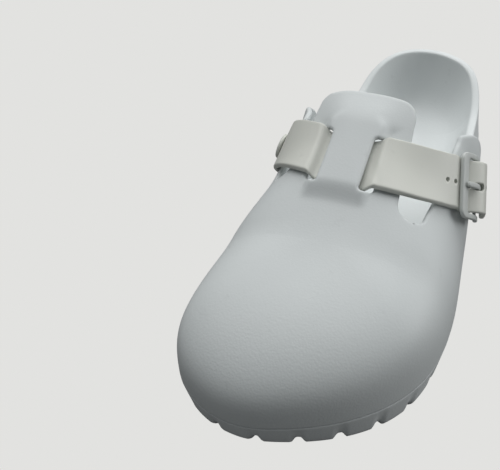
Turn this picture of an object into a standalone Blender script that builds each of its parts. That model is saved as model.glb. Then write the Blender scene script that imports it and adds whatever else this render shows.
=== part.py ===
"""One-strap clog for the left foot: a moulded sole with a cupped heel rim, a hollow moulded upper
with a tongue tab, and a strap that runs under a bridge on the instep to a pin buckle.

Metres, +Z up. The toe points along -Y, the outer (little toe) side is +X, the tread stands on z = 0.
"""

import math

import bmesh
import bpy
import numpy as np

MM = 0.001

# Driving dimensions, in millimetres
LENGTH = 280.0            # outer length, toe tip to heel rim
BALL_WIDTH = 112.0        # outer width at the ball
HEEL_WIDTH = 79.5         # outer width at the heel
INSTEP = 103.5            # height of the instep line at the end of the tongue tab
SOLE_EDGE = 24.0          # height of the line where upper and sole meet
RIM_SIDE = 44.0           # height of the heel rim along its sides
RIM_BACK = 58.0           # height of the heel rim at the very back
TOE_SPRING = 7.0          # how far the tread lifts at the toe tip
ARCH_RISE = 2.0           # how far the tread lifts under the waist
WALL = 3.0                # wall of the upper
GAP = 0.3                 # clearance between pieces that meet
LIP_GAP = 0.8             # clearance between the sole's lip and the upper's wall

# Sole, in millimetres
RIM_THICK = 4.2           # width of the rim's flat top
RIM_LEAN = 2.5            # how far the rim's outer wall leans in at its top
STEP_FADE = 3.0           # length over which the wings' recess ends behind them
SIDE_TUCK = 5.0           # how far the side wall tucks in from seam to tread, along the sides
TOE_TUCK = 5.0            # the same at the toe
FOOTBED = 25.0            # height of the footbed's lowest part, under the heel
FOOTBED_TOE = 23.5        # height of the footbed under the toes
ARCH_PAD = 6.0            # how far the footbed swells at the arch
LIP = 9.0                 # how far the sole's lip stands up inside the upper's wall
TREAD_EDGE = 3.5          # width of the rounding between side wall and tread
LUG_PITCH = 20.0          # distance from one edge lug to the next
LUG_GROOVE = 5.5          # width of the groove between two lugs
GROOVE_DEPTH = 3.2        # depth of that groove
GROOVE_REACH = 17.0       # how far a groove runs in under the tread

# Tongue, bridge and openings of the upper, in millimetres
TONGUE_CENTRE = -1.0      # the tongue's middle line, a little to the inner side
TONGUE_HALF = 23.5        # half width of the tab at its free end, outer side
INNER_HALF = 25.5         # the same on the inner side
TONGUE_ROOT = 27.0        # half width where the tongue grows out of the vamp, outer side
INNER_ROOT = 30.5         # the same on the inner side
TAB_CORNER = 8.0          # corner radius of the tab, outer side
INNER_CORNER = 5.0        # the same on the inner side
BRIDGE_CENTRE = -2.8      # middle line of the bridge over the strap
BRIDGE_HALF = 10.4        # half width of the bridge
BRIDGE_RISE = 3.4         # how far the bridge is raised over the vamp
WING_FLARE = 4.0          # how far the wings' rear parts stand out beyond the plain section
BRIDGE_RAMP = 9.0         # length over which that rise fades out in front
BRIDGE_TAIL = 22.0        # and behind, over the tab
BRIDGE_SPREAD = 6.0       # how much wider the rise gets there
SLOT_WIDTH = 6.2          # opening beside the bridge that the strap dives through
SLOT_CORNER = 1.5

# Strap, in millimetres
STRAP_WIDTH = 24.8
STRAP_THICK = 2.4
STRAP_TILT = 45.0         # degrees, tilt of the plane in which the strap crosses the foot
STRAP_LIFT = 0.9          # how far the strap stands off the vamp
STRAP_EASE = 0.8          # room beside the strap in its slots
STRAP_BACKSET = 4.0       # how far the inner side's half runs towards the heel
OUTER_BACKSET = 3.0       # how far the outer side's half does, near the buckle
BACKSET_START = 30.0      # distance from the middle line at which that begins
BACKSET_RUN = 25.0        # and the distance over which it builds up

# Buckle and stud, in millimetres
FRAME_LENGTH = 22.0       # buckle frame, measured along the strap
FRAME_MARGIN = 0.6        # room beside the strap in the frame's window
FRAME_SIDE = 2.8          # width of the frame's two side bars
FRAME_BAR = 4.8           # width of the outer bar that the pin rests on
FRAME_THICK = 2.2
FRAME_CORNER = 4.0
HINGE_BAR = 1.6           # width and thickness of the bar that pin and tab turn on
LOOP_WALL = 0.8           # wall of the tab's loop and of the pin's eye round that bar
PRONG_WIDTH = 2.6
PRONG_THICK = 2.0
PRONG_SLOT = 7.6          # length of the strap's hole round the pin
HOLE_RADIUS = 1.1
HOLE_PITCH = 5.0
HOLES_BEFORE = 4          # spare holes above the pin
HOLES_AFTER = 2           # spare holes towards the free end
TAIL = 10.5               # how far the strap's free end reaches past the hinge bar
STRAP_CREST = 4.5         # how far before the hinge bar the strap reaches its full height
TAIL_LIFT = 0.4           # how far it stays off the strip under it
TAIL_TAPER = 0.12         # how much narrower its end is
TAB_THICK = 2.2           # strip that ties the hinge bar to the wing
TAB_WIDTH = 13.0
TAB_SPARE = 0.3           # extra clearance under it, where the wing curves across
TAB_LENGTH = 12.0
STUD_RADIUS = 6.6
STUD_THICK = 1.8

# Outline at the seam, a row for each section: share of the length from the toe, then the distance
# from the middle line to the inner and to the outer side as shares of the local width
OUTLINE = (
    # station, inner, outer
    (0.015, -0.285, 0.050),
    (0.05, -0.400, 0.220),
    (0.10, -0.470, 0.365),
    (0.17, -0.485, 0.475),
    (0.25, -0.483, 0.522),
    (0.34, -0.470, 0.525),
    (0.44, -0.440, 0.500),
    (0.56, -0.425, 0.507),
    (0.68, -0.438, 0.524),
    (0.80, -0.465, 0.524),
    (0.89, -0.437, 0.478),
    (0.955, -0.323, 0.366),
    (0.99, -0.160, 0.175),
)
TOE_TIP = -0.08           # share of the ball width, towards the inner side
HEEL_TIP = 0.015          # share of the heel width

# Instep line, a row for each section: share of the length, share of INSTEP
RIDGE = (
    # station, height
    (0.00, 0.500),
    (0.13, 0.582),
    (0.27, 0.658),
    (0.36, 0.749),
    (0.46, 0.865),
    (0.58, 1.000),
    (0.70, 1.050),
)

# Roundness of the sections: a higher power gives a squarer shoulder
ROUNDNESS = (
    # station, power across, power upwards
    (0.15, 2.90, 4.00),
    (0.30, 2.45, 2.95),
    (0.43, 2.05, 2.30),
    (0.55, 2.70, 2.85),
)

# Seam height, rim height and tread height along the length
SEAM = ((0.0, 0.98), (0.3, 0.83), (0.65, 1.0))
TOE_POLE = 0.27           # station where the toe's fan of sections starts
HEEL_POLE = 0.84          # station where the heel's fan starts
TONGUE_END = 0.543        # station of the tab's straight end
NOTCH_END = 0.355         # station of the round end of the notch beside the tongue, outer side
INNER_NOTCH_END = 0.405   # the same on the inner side
WING_EDGE = (
    # station, share of the half width on the outer side, the same on the inner side
    (0.38, 0.670, 0.790),
    (0.50, 0.775, 0.745),
    (0.56, 0.825, 0.745),
)
WING_CENTRE = 0.518       # station of the centre of the wing's quarter-ellipse rear edge
WING_REACH = 0.165        # that ellipse's radius along the length, as a share of it
WING_TOP = 0.57           # its upward radius, as a share of INSTEP
STRAP_STATION = 0.413     # station and height share at which the strap crosses the middle line
STRAP_HEIGHT = 0.822
BUCKLE_ANGLE = 34.0       # degrees round the section where the buckle's outer bar sits
STUD_ANGLE = 24.0         # the same for the stud on the inner side
STRAP_END_ANGLE = 15.0    # the same for the strap's riveted end

FLARE_START = 12.0        # place along the length, in millimetres, where the flare begins
FLARE_RUN = 15.0          # and the length over which it builds up
FLARE_HEIGHT = 0.45       # share of the section's height over which it builds up
FAN_STEPS = 17
ROW_STEP = 8.0
ARC_DEGREES = (0.0, 8.0, 17.0, 26.0, 35.0, 44.0, 52.0, 60.0, 66.0, 71.0, 75.0, 78.5, 82.0, 86.0, 90.0)
CROWN = 1.1               # upward wall over square wall at the crown, where the instep slopes
STRAP_ACROSS = np.linspace(-0.5, 0.5, 5)

DIVE_ANGLE = 62.0         # degrees round the section where the strap starts to dive into its slot
STRAP_LAST = {1: BUCKLE_ANGLE + 3.0, -1: STRAP_END_ANGLE}

HINGE_PLACE = FRAME_LENGTH / 2.0 - HINGE_BAR / 2.0
BAR_PLACE = (FRAME_BAR - FRAME_LENGTH) / 2.0
BOW_START = BAR_PLACE + FRAME_BAR
HINGE_EYE = HINGE_BAR / math.sqrt(2.0) + GAP
HINGE_LOOP = HINGE_EYE + LOOP_WALL


def station_y(share):
    """Distance along Y of a share of the length, toe at -LENGTH / 2."""
    return (share - 0.5) * LENGTH


def ease(x):
    """Smooth step from 0 to 1."""
    x = np.clip(x, 0.0, 1.0)
    return x * x * (3.0 - 2.0 * x)


def eased_table(share, rows, column):
    """Value of a table's column at a station, with a smooth step between rows."""
    share = np.asarray(share, float)
    value = np.full(share.shape, float(rows[0][column]))
    for low, high in zip(rows[:-1], rows[1:]):
        value = value + (high[column] - low[column]) * ease((share - low[0]) / (high[0] - low[0]))
    return value


def cubic_through(knots, values, at):
    """Natural cubic curve through the values at the knots."""
    knots = np.asarray(knots, float)
    values = np.asarray(values, float)
    count = len(knots)
    step = np.diff(knots)
    system = np.eye(count)
    right = np.zeros(count)
    for i in range(1, count - 1):
        system[i, i - 1] = step[i - 1]
        system[i, i] = 2.0 * (step[i - 1] + step[i])
        system[i, i + 1] = step[i]
        right[i] = 6.0 * ((values[i + 1] - values[i]) / step[i] - (values[i] - values[i - 1]) / step[i - 1])
    bend = np.linalg.solve(system, right)
    at = np.clip(at, knots[0], knots[-1])
    k = np.clip(np.searchsorted(knots, at) - 1, 0, count - 2)
    a = (knots[k + 1] - at) / step[k]
    b = (at - knots[k]) / step[k]
    curved = ((a ** 3 - a) * bend[k] + (b ** 3 - b) * bend[k + 1]) * step[k] ** 2 / 6.0
    return a * values[k] + b * values[k + 1] + curved


def closed_curve(points, count):
    """Smooth closed curve through the points: a natural cubic wrapped three spans past its ends."""
    points = np.asarray(points, float)
    wrap = 4
    ring = np.vstack([points[-wrap:], points, points[:wrap + 1]])
    run = np.r_[0.0, np.cumsum(np.linalg.norm(np.diff(ring, axis=0), axis=1))]
    at = np.linspace(run[wrap], run[wrap + len(points)], count, endpoint=False)
    return np.column_stack([cubic_through(run, ring[:, 0], at), cubic_through(run, ring[:, 1], at)])


def local_width(share):
    """Full width that a section's shares refer to: the ball's, easing to the heel's."""
    return BALL_WIDTH + (HEEL_WIDTH - BALL_WIDTH) * ease((share - 0.4) / 0.4)


def make_outline():
    """Plan outline at the seam, anticlockwise from the toe tip along the outer side."""
    outer = [(row[2] * local_width(row[0]), station_y(row[0])) for row in OUTLINE]
    inner = [(row[1] * local_width(row[0]), station_y(row[0])) for row in reversed(OUTLINE)]
    toe = [(TOE_TIP * BALL_WIDTH, station_y(0.0))]
    heel = [(HEEL_TIP * HEEL_WIDTH, station_y(1.0))]
    return closed_curve(toe + outer + heel + inner, 1200)


PLAN = make_outline()
TOE_Y = station_y(TOE_POLE)
HEEL_Y = station_y(HEEL_POLE)
TURN = int(np.argmax(PLAN[:, 1]))


def edge_x(y, side):
    """Outline's x at a place along the length; side is +1 for the outer side, -1 for the inner."""
    half = PLAN[:TURN + 1] if side > 0 else PLAN[TURN:][::-1]
    return np.interp(y, half[:, 1], half[:, 0])


def share_of(y):
    return np.asarray(y, float) / LENGTH + 0.5


def spine_x(y):
    """Middle line of the sections: it drifts to the inner side over the instep."""
    return BRIDGE_CENTRE * ease((np.asarray(y, float) - TOE_Y) / 60.0)


def ridge_z(y):
    rows = np.array(RIDGE)
    return INSTEP * cubic_through(rows[:, 0], rows[:, 1], share_of(y))


def seam_z(y):
    return SOLE_EDGE * eased_table(share_of(y), SEAM, 1)


def tread_z(y):
    """Height of the tread: toe spring in front, a slight lift under the waist, flat elsewhere."""
    s = share_of(y)
    spring = TOE_SPRING * np.clip((0.24 - s) / 0.24, 0.0, 1.0) ** 1.8
    waist = ARCH_RISE * np.clip(np.sin(math.pi * np.clip((s - 0.44) / 0.24, 0.0, 1.0)), 0.0, 1.0) ** 2
    heel = 1.5 * np.clip((s - 0.93) / 0.07, 0.0, 1.0) ** 2
    return spring + waist + heel


def rim_z(y):
    """Height of the lip inside the upper and of the heel rim behind it."""
    s = share_of(y)
    front = seam_z(y) + LIP
    side = front + (RIM_SIDE - front) * ease((s - 0.45) / 0.17)
    return side + (RIM_BACK - RIM_SIDE) * ease((s - 0.82) / 0.18)


def powers(y):
    s = share_of(y)
    return eased_table(s, ROUNDNESS, 1), eased_table(s, ROUNDNESS, 2)


def bridge_rise(x, y):
    """Extra height of the bridge and its ramps, fading out over the slots' width at either side."""
    low, high = bridge_span()
    along = ease((y - low + BRIDGE_RAMP) / BRIDGE_RAMP) * ease((high + BRIDGE_TAIL - y) / BRIDGE_TAIL)
    spread = BRIDGE_SPREAD * ease((y - high) / SLOT_WIDTH)
    edge = BRIDGE_HALF + SLOT_WIDTH + spread
    across = ease((edge - np.abs(x - BRIDGE_CENTRE)) / (SLOT_WIDTH - SLOT_CORNER + 2.0 * spread))
    return BRIDGE_RISE * along * across


def shell_point(rim, spine, angle, inset, raised=True):
    """Point of the upper's surface.

    rim is on the outline and spine on the middle line. From one to the other the section is a
    quarter of a superellipse: across it goes with a power of cos(angle), upwards with a power of
    sin(angle). A positive inset gives the inner side of the wall, a negative one the space outside.
    """
    reach = spine - rim
    span = np.linalg.norm(reach, axis=-1)
    n, m = powers(rim[..., 1])
    q = np.clip(np.cos(angle), 0.0, 1.0) ** (2.0 / n)
    v = np.clip(np.sin(angle), 0.0, 1.0) ** (2.0 / m)
    flare = WING_FLARE * ease((rim[..., 1] - FLARE_START) / FLARE_RUN) * ease(v / FLARE_HEIGHT)
    plan = spine - reach * (q * (span + flare - inset) / span)[..., None]
    low = seam_z(rim[..., 1])
    high = ridge_z(plan[..., 1]) - CROWN * inset
    z = low + (high - low) * v
    if raised:
        z = z + bridge_rise(plan[..., 0], plan[..., 1])
    return np.concatenate([plan, z[..., None]], axis=-1)


def side_point(side, y, angle, inset, raised=False):
    """The same surface, by place along the length and side, where sections lie straight across."""
    y, angle = np.broadcast_arrays(np.asarray(y, float), np.asarray(angle, float))
    rim = np.stack([edge_x(y, side), y], axis=-1)
    spine = np.stack([spine_x(y), y], axis=-1)
    return shell_point(rim, spine, angle, inset, raised)


def strap_frame():
    """A point on the strap's middle plane and the direction across the strap."""
    tilt = math.radians(STRAP_TILT)
    middle = np.array([0.0, station_y(STRAP_STATION), STRAP_HEIGHT * INSTEP])
    return middle, np.array([0.0, math.cos(tilt), math.sin(tilt)])


def strap_y(side, angle, across, inset):
    """Place along the length where a section angle meets the strap's plane, moved across by a distance."""
    middle, normal = strap_frame()
    angle, across = np.broadcast_arrays(np.asarray(angle, float), np.asarray(across, float))
    y = np.full(angle.shape, middle[1])
    for _ in range(40):
        point = side_point(side, y, angle, inset)
        shift = STRAP_BACKSET * ease(-(point[..., 0] - BRIDGE_CENTRE) / 40.0)
        shift = shift + OUTER_BACKSET * np.clip((point[..., 0] - BACKSET_START) / BACKSET_RUN, 0.0, None) ** 1.5
        want = middle[1] + (across + shift - (point[..., 2] - middle[2]) * normal[2]) / normal[1]
        y = 0.5 * y + 0.5 * want
    return y


def slot_span(side):
    """Front and back end of the strap's slot on one side of the bridge."""
    if side not in SLOT_SPAN:
        rows = np.array([strap_row(side, math.radians(a), 0.0) for a in np.arange(60.0, 88.0, 1.0)])
        away = np.abs(rows[..., 0] - BRIDGE_CENTRE)
        rows = rows[(away.min(axis=1) < BRIDGE_HALF + SLOT_WIDTH) & (away.max(axis=1) > BRIDGE_HALF)]
        SLOT_SPAN[side] = (rows[..., 1].min() - STRAP_EASE, rows[..., 1].max() + STRAP_EASE)
    return SLOT_SPAN[side]


def bridge_span():
    """Front and back end of the bridge, level with the longer reach of the two slots."""
    spans = np.array([slot_span(1), slot_span(-1)])
    return float(spans[:, 0].min()), float(spans[:, 1].max())


SLOT_SPAN = {}
END_TURN = {}


def material(name, colour, rough, metallic=0.0):
    made = bpy.data.materials.new(name)
    made.use_nodes = True
    shader = made.node_tree.nodes["Principled BSDF"]
    shader.inputs["Base Color"].default_value = (*colour, 1.0)
    shader.inputs["Roughness"].default_value = rough
    shader.inputs["Metallic"].default_value = metallic
    return made


def new_object(name, verts, faces, finish=None, merge=0.01):
    """Mesh object from points in millimetres, doubles merged, normals pointing out."""
    mesh = bpy.data.meshes.new(name)
    mesh.from_pydata([tuple(float(c) * MM for c in v) for v in verts], [], [tuple(f) for f in faces])
    work = bmesh.new()
    work.from_mesh(mesh)
    bmesh.ops.remove_doubles(work, verts=work.verts, dist=merge * MM)
    bmesh.ops.dissolve_degenerate(work, edges=work.edges, dist=merge * MM)
    bmesh.ops.recalc_face_normals(work, faces=work.faces)
    work.to_mesh(mesh)
    work.free()
    made = bpy.data.objects.new(name, mesh)
    bpy.context.scene.collection.objects.link(made)
    if finish is not None:
        mesh.materials.append(finish)
        mesh.shade_smooth()
        mesh.set_sharp_from_angle(angle=math.radians(35.0))
    return made


def grid_faces(rows, cols, start=0, flip=False, closed=False):
    """Quads of a grid stored row by row; a closed grid joins its last row to its first."""
    faces = []
    for i in range(rows if closed else rows - 1):
        k = (i + 1) % rows
        for j in range(cols - 1):
            quad = (i * cols + j, k * cols + j, k * cols + j + 1, i * cols + j + 1)
            quad = tuple(start + n for n in quad)
            faces.append(quad[::-1] if flip else quad)
    return faces


def prism(name, outline, low, high, axis):
    """Hidden cutter: an outline extruded along Z (points are x, y) or along X (points are y, z)."""
    count = len(outline)
    if axis == "z":
        rings = [[(x, y, level) for x, y in outline] for level in (low, high)]
    else:
        rings = [[(level, y, z) for y, z in outline] for level in (low, high)]
    faces = [tuple(range(count)), tuple(range(2 * count - 1, count - 1, -1))]
    faces += [(i, (i + 1) % count, count + (i + 1) % count, count + i) for i in range(count)]
    made = new_object(name, rings[0] + rings[1], faces, merge=0.001)
    made.hide_render = True
    made.display_type = "WIRE"
    return made


def cut(target, cutter):
    """Boolean difference, applied, with the cutter deleted after it."""
    modifier = target.modifiers.new("cut", "BOOLEAN")
    modifier.operation = "DIFFERENCE"
    modifier.solver = "EXACT"
    modifier.object = cutter
    graph = bpy.context.evaluated_depsgraph_get()
    graph.update()
    result = bpy.data.meshes.new_from_object(target.evaluated_get(graph))
    target.modifiers.clear()
    target.data = result
    bpy.data.objects.remove(cutter)


def arc(centre, radius, start, end, steps):
    """Points of an arc in the plane, angles in degrees."""
    turn = np.radians(np.linspace(start, end, steps))
    return [(centre[0] + radius * math.cos(t), centre[1] + radius * math.sin(t)) for t in turn]


def even_run(points, count):
    """Points at even distances along a polyline."""
    run = np.r_[0.0, np.cumsum(np.linalg.norm(np.diff(points, axis=0), axis=1))]
    at = np.linspace(0.0, run[-1], count)
    return np.column_stack([np.interp(at, run, points[:, 0]), np.interp(at, run, points[:, 1])])


def steps_for(length):
    """Number of section places along a stretch, ends included."""
    return max(2, int(round(length / ROW_STEP)) + 1)


def make_upper(finish):
    """The hollow upper: outer and inner skin joined at the seam, then notches, slots and rear cut."""
    rear = wing_end() + 4.0
    low, high = bridge_span()
    ramp = np.linspace(0.0, BRIDGE_RAMP, 4)
    tail = np.linspace(0.0, BRIDGE_TAIL, 5)
    sides = np.concatenate([
        np.linspace(TOE_Y, low - BRIDGE_RAMP, steps_for(low - BRIDGE_RAMP - TOE_Y))[:-1],
        low - 0.4 - ramp[::-1],
        np.linspace(low, high, steps_for(high - low))[1:-1],
        high + 0.4 + tail,
        np.linspace(high + BRIDGE_TAIL, rear, steps_for(rear - high - BRIDGE_TAIL))[1:],
    ])[::-1]
    fan = np.roll(PLAN, len(PLAN) // 3, axis=0)
    fan = fan[fan[:, 1] < TOE_Y][::-1]
    ends = np.array([[edge_x(TOE_Y, 1), TOE_Y]]), np.array([[edge_x(TOE_Y, -1), TOE_Y]])
    fan = even_run(np.vstack([ends[0], fan, ends[1]]), 2 * FAN_STEPS + 1)[1:-1]
    outer_side = np.column_stack([edge_x(sides, 1), sides])
    inner_side = np.column_stack([edge_x(sides, -1), sides])[::-1]
    rim = np.vstack([outer_side, fan, inner_side])
    spine_line = np.clip(rim[:, 1], TOE_Y, None)
    spine = np.column_stack([spine_x(spine_line), spine_line])
    angle = np.radians(ARC_DEGREES)
    rows, cols = len(rim), len(angle)
    rim_grid = np.repeat(rim[:, None], cols, axis=1)
    spine_grid = np.repeat(spine[:, None], cols, axis=1)
    angles = np.broadcast_to(angle, (rows, cols))
    skins = [shell_point(rim_grid, spine_grid, angles, inset) for inset in (0.0, WALL)]
    for skin in skins:
        skin[:, 0, 2] += GAP
    verts = np.vstack([skin.reshape(-1, 3) for skin in skins])
    inside = rows * cols
    faces = grid_faces(rows, cols) + grid_faces(rows, cols, inside, flip=True)
    faces += [(i * cols, inside + i * cols, inside + (i + 1) * cols, (i + 1) * cols) for i in range(rows - 1)]
    for i in (0, rows - 1):
        for j in range(cols - 1):
            quad = (i * cols + j, i * cols + j + 1, inside + i * cols + j + 1, inside + i * cols + j)
            faces.append(quad if i == 0 else quad[::-1])
    upper = new_object("upper", verts, faces, finish)
    for side in (1, -1):
        cut(upper, wing_cutter(side))
    cut(upper, throat_cutter())
    for side in (1, -1):
        cut(upper, slot_cutter(side))
    return upper


def wing_edge_x(y, side):
    """Upper edge of the wing in plan, as a share of the half width."""
    rows = np.array(WING_EDGE)
    share = cubic_through(rows[:, 0], rows[:, 1 if side > 0 else 2], share_of(y))
    return spine_x(y) + share * (edge_x(y, side) - spine_x(y))


def throat_cutter():
    """Plan shape of the opening round the tongue: two round-ended notches and all behind the tab."""
    end = station_y(TONGUE_END)
    back = wing_end() + 20.0
    outline = []
    for side in (1, -1):
        notch_end = station_y(NOTCH_END if side > 0 else INNER_NOTCH_END)
        wing = [(float(wing_edge_x(y, side)), y) for y in np.linspace(back, notch_end + 8.0, 9)]
        root = TONGUE_CENTRE + (TONGUE_ROOT if side > 0 else -INNER_ROOT)
        middle = (root + wing[-1][0]) / 2.0
        radius = abs(wing[-1][0] - root) / 2.0
        angles = (0.0, -180.0) if side > 0 else (180.0, 360.0)
        notch = arc((middle, notch_end + radius), radius, *angles, 9)
        if side > 0:
            tab = TONGUE_CENTRE + TONGUE_HALF - TAB_CORNER
            corner = arc((tab, end - TAB_CORNER), TAB_CORNER, 0.0, 90.0, 7)
        else:
            tab = TONGUE_CENTRE - INNER_HALF + INNER_CORNER
            corner = arc((tab, end - INNER_CORNER), INNER_CORNER, 180.0, 90.0, 7)
        half = wing + notch + corner
        outline = half if side > 0 else outline + half[::-1]
    return prism("throat_cutter", outline, SOLE_EDGE + 6.0, 2.0 * INSTEP, "z")


def wing_cutter(side):
    """Side shape of the space behind one wing: its rear edge is a quarter of an ellipse."""
    centre = (station_y(WING_CENTRE), float(seam_z(station_y(0.65))))
    reach = WING_REACH * LENGTH
    rise = WING_TOP * INSTEP
    turn = np.radians(np.linspace(90.0, -8.0, 14))
    outline = [(centre[0] + reach * math.cos(t), centre[1] + rise * math.sin(t)) for t in turn]
    outline += [(outline[-1][0], 0.0), (reach * 3.0, 0.0), (reach * 3.0, 2.0 * INSTEP)]
    outline += [(outline[0][0], 2.0 * INSTEP)]
    near = side * (TONGUE_ROOT + 1.4)
    far = side * BALL_WIDTH
    return prism("wing_cutter", outline, min(near, far), max(near, far), "x")


def slot_cutter(side):
    """Plan shape of one slot beside the bridge, with small round corners."""
    low, high = slot_span(side)
    near = BRIDGE_CENTRE + side * BRIDGE_HALF
    far = near + side * SLOT_WIDTH
    radius = SLOT_CORNER
    left, right = min(near, far), max(near, far)
    outline = arc((right - radius, low + radius), radius, -90.0, 0.0, 4)
    outline += arc((right - radius, high - radius), radius, 0.0, 90.0, 4)
    outline += arc((left + radius, high - radius), radius, 90.0, 180.0, 4)
    outline += arc((left + radius, low + radius), radius, 180.0, 270.0, 4)
    return prism("slot_cutter", outline, SOLE_EDGE + 6.0, 2.0 * INSTEP, "z")


def wing_end():
    """Place along the length where the wings' rear edge comes down to the seam."""
    return station_y(WING_CENTRE + WING_REACH)


def lug_stations(length):
    """Places and groove depths along one stretch of edge, a whole number of lugs long."""
    count = max(2, int(round(length / LUG_PITCH)))
    pitch = length / count
    groove = LUG_GROOVE / pitch
    places = []
    depths = []
    for k in range(count):
        for place, depth in ((0.0, 0.0), (0.5 - groove / 2, 0.0), (0.5 - groove / 5, 1.0),
                             (0.5 + groove / 5, 1.0), (0.5 + groove / 2, 0.0)):
            places.append((k + place) / count)
            depths.append(depth)
    return np.array(places), np.array(depths)


def sole_stations():
    """Outline points round the sole with their groove depths, grooves at even spacing."""
    lug_places, lug_depths = lug_stations(HEEL_Y - TOE_Y)
    lug_places = TOE_Y + lug_places * (HEEL_Y - TOE_Y)
    sides = np.union1d(lug_places, [wing_end() + 0.8, wing_end() + 0.8 + STEP_FADE])
    side_depths = np.interp(sides, lug_places, lug_depths)
    runs = []
    for low, high in ((True, False), (False, True)):
        limit = HEEL_Y if high else TOE_Y
        picked = PLAN[PLAN[:, 1] > limit] if high else np.roll(PLAN, 400, axis=0)
        picked = picked[picked[:, 1] > limit] if high else picked[picked[:, 1] < limit]
        first, last = (1, -1) if high else (-1, 1)
        ends = [np.array([[edge_x(limit, s), limit]]) for s in (first, last)]
        line = np.vstack([ends[0], picked, ends[1]])
        run = np.r_[0.0, np.cumsum(np.linalg.norm(np.diff(line, axis=0), axis=1))]
        places, depths = lug_stations(run[-1])
        at = places * run[-1]
        points = np.column_stack([np.interp(at, run, line[:, 0]), np.interp(at, run, line[:, 1])])
        runs.append((points, depths))
    toe, heel = runs
    outer = (np.column_stack([edge_x(sides, 1), sides]), side_depths)
    back = np.r_[HEEL_Y, sides[1:][::-1]]
    back_depths = np.r_[0.0, side_depths[1:][::-1]]
    inner = (np.column_stack([edge_x(back, -1), back]), back_depths)
    points = np.vstack([toe[0], outer[0], heel[0], inner[0]])
    depths = np.concatenate([toe[1], outer[1], heel[1], inner[1]])
    return points, depths


def make_sole(finish):
    """Sole and footbed in one moulding: a profile carried round the outline.

    From the tread's middle the profile runs out to the lugs, up the side wall to the seam, in over
    the ledge that carries the upper, up the lip (behind the wings: the heel rim) and across the footbed.
    """
    rim, groove = sole_stations()
    line = np.clip(rim[:, 1], TOE_Y, HEEL_Y)
    spine = np.column_stack([spine_x(line), line])
    span = np.linalg.norm(spine - rim, axis=1)
    inward = (spine - rim) / span[:, None]
    y = rim[:, 1]
    low = tread_z(y)
    seam = seam_z(y)
    top = rim_z(y)
    tuck = SIDE_TUCK + (TOE_TUCK - SIDE_TUCK) * ease((TOE_Y - y) / 50.0)
    cut_up = groove * GROOVE_DEPTH
    rear = ease((y - wing_end() - 0.8) / STEP_FADE)
    n, m = powers(y)

    def at(distance, height):
        return np.column_stack([rim + inward * np.reshape(distance, (-1, 1)), height])

    def wall_inset(height):
        """How far the upper's inner side lies in from the outline at a height above the seam."""
        v = np.clip((height - seam) / (ridge_z(y) - CROWN * WALL - seam), 0.0, 1.0)
        return span - (span - WALL) * (1.0 - v ** m) ** (1.0 / n) + LIP_GAP

    rows = [np.column_stack([spine, tread_z(line)])]
    rows.append(at(np.minimum(GROOVE_REACH + tuck, 0.7 * span), tread_z(y)))
    rows.append(at(tuck + TREAD_EDGE, low + cut_up))
    rows.append(at(tuck + 0.6 + 0.5 * cut_up, low + 1.4 + cut_up))
    rows.append(at(0.55 * tuck + 0.3 * cut_up, low + 5.0 + 0.6 * cut_up))
    rows.append(at(0.0 * tuck, seam))
    ledge = WALL + GAP
    lip_height = top - 1.5
    rim_low = 0.15 * RIM_LEAN
    rows.append(at(ledge + (rim_low - ledge) * rear, seam + 2.0 * rear))
    middle = 0.5 * (seam + lip_height)
    rows.append(at(wall_inset(middle) + (0.6 * RIM_LEAN - wall_inset(middle)) * rear, middle))
    outside = wall_inset(lip_height) + (RIM_LEAN - wall_inset(lip_height)) * rear
    rows.append(at(outside, lip_height))
    rows.append(at(outside + 0.5 * RIM_THICK, top))
    inside = outside + RIM_THICK
    s = share_of(y)
    bed = FOOTBED_TOE + (FOOTBED - FOOTBED_TOE) * ease((s - 0.3) / 0.3)
    arch = ARCH_PAD * ease((s - 0.38) / 0.14) * ease((0.74 - s) / 0.14)
    bed = bed + arch * np.where(rim[:, 0] < spine[:, 0], 1.0, 0.35)
    heart = FOOTBED_TOE + (FOOTBED - FOOTBED_TOE) * ease((share_of(line) - 0.3) / 0.3)
    heart = heart + 0.45 * ARCH_PAD * ease((share_of(line) - 0.38) / 0.14) * ease((0.74 - share_of(line)) / 0.14)
    for f in (0.0, 0.1, 0.26, 0.55):
        across = bed + (heart - bed) * ease(f)
        height = across + (top - 1.2 - across) * (1.0 - f) ** 5
        rows.append(at(inside + (span - inside) * f, height))
    rows.append(np.column_stack([spine, heart]))
    grid = np.stack(rows, axis=1)
    verts = grid.reshape(-1, 3)
    faces = grid_faces(grid.shape[0], grid.shape[1], closed=True)
    return new_object("sole", verts, faces, finish)


def strap_offset(x):
    """Height of the strap's middle over the plain vamp: above it outside, low under the bridge."""
    out = STRAP_LIFT + STRAP_THICK / 2.0
    under = BRIDGE_RISE / CROWN - WALL - 2.0 * GAP - STRAP_THICK / 2.0
    return under + (out - under) * ease((np.abs(x - BRIDGE_CENTRE) - BRIDGE_HALF - GAP) / (SLOT_WIDTH - 1.0))


def strap_point(side, angle, across):
    """Point of the plain vamp at a section angle, a distance across from the strap's middle plane."""
    y = strap_y(side, angle, across, 0.0)
    return side_point(side, y, angle, 0.0)


def end_turn(side):
    """Change of section angle, point by point, that makes the strap's last row square to it."""
    across = STRAP_ACROSS * STRAP_WIDTH
    last = math.radians(STRAP_LAST[side])
    step = math.radians(0.5)
    centre = strap_point(side, last, 0.0)
    along = strap_point(side, last - step, 0.0) - strap_point(side, last + step, 0.0)
    turns = np.zeros(len(across))
    for _ in range(12):
        miss = (strap_point(side, last + turns, across) - centre) @ along
        change = (strap_point(side, last + turns + step, across) - centre) @ along - miss
        turns = turns - 0.7 * step * miss / change
    return turns


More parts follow.
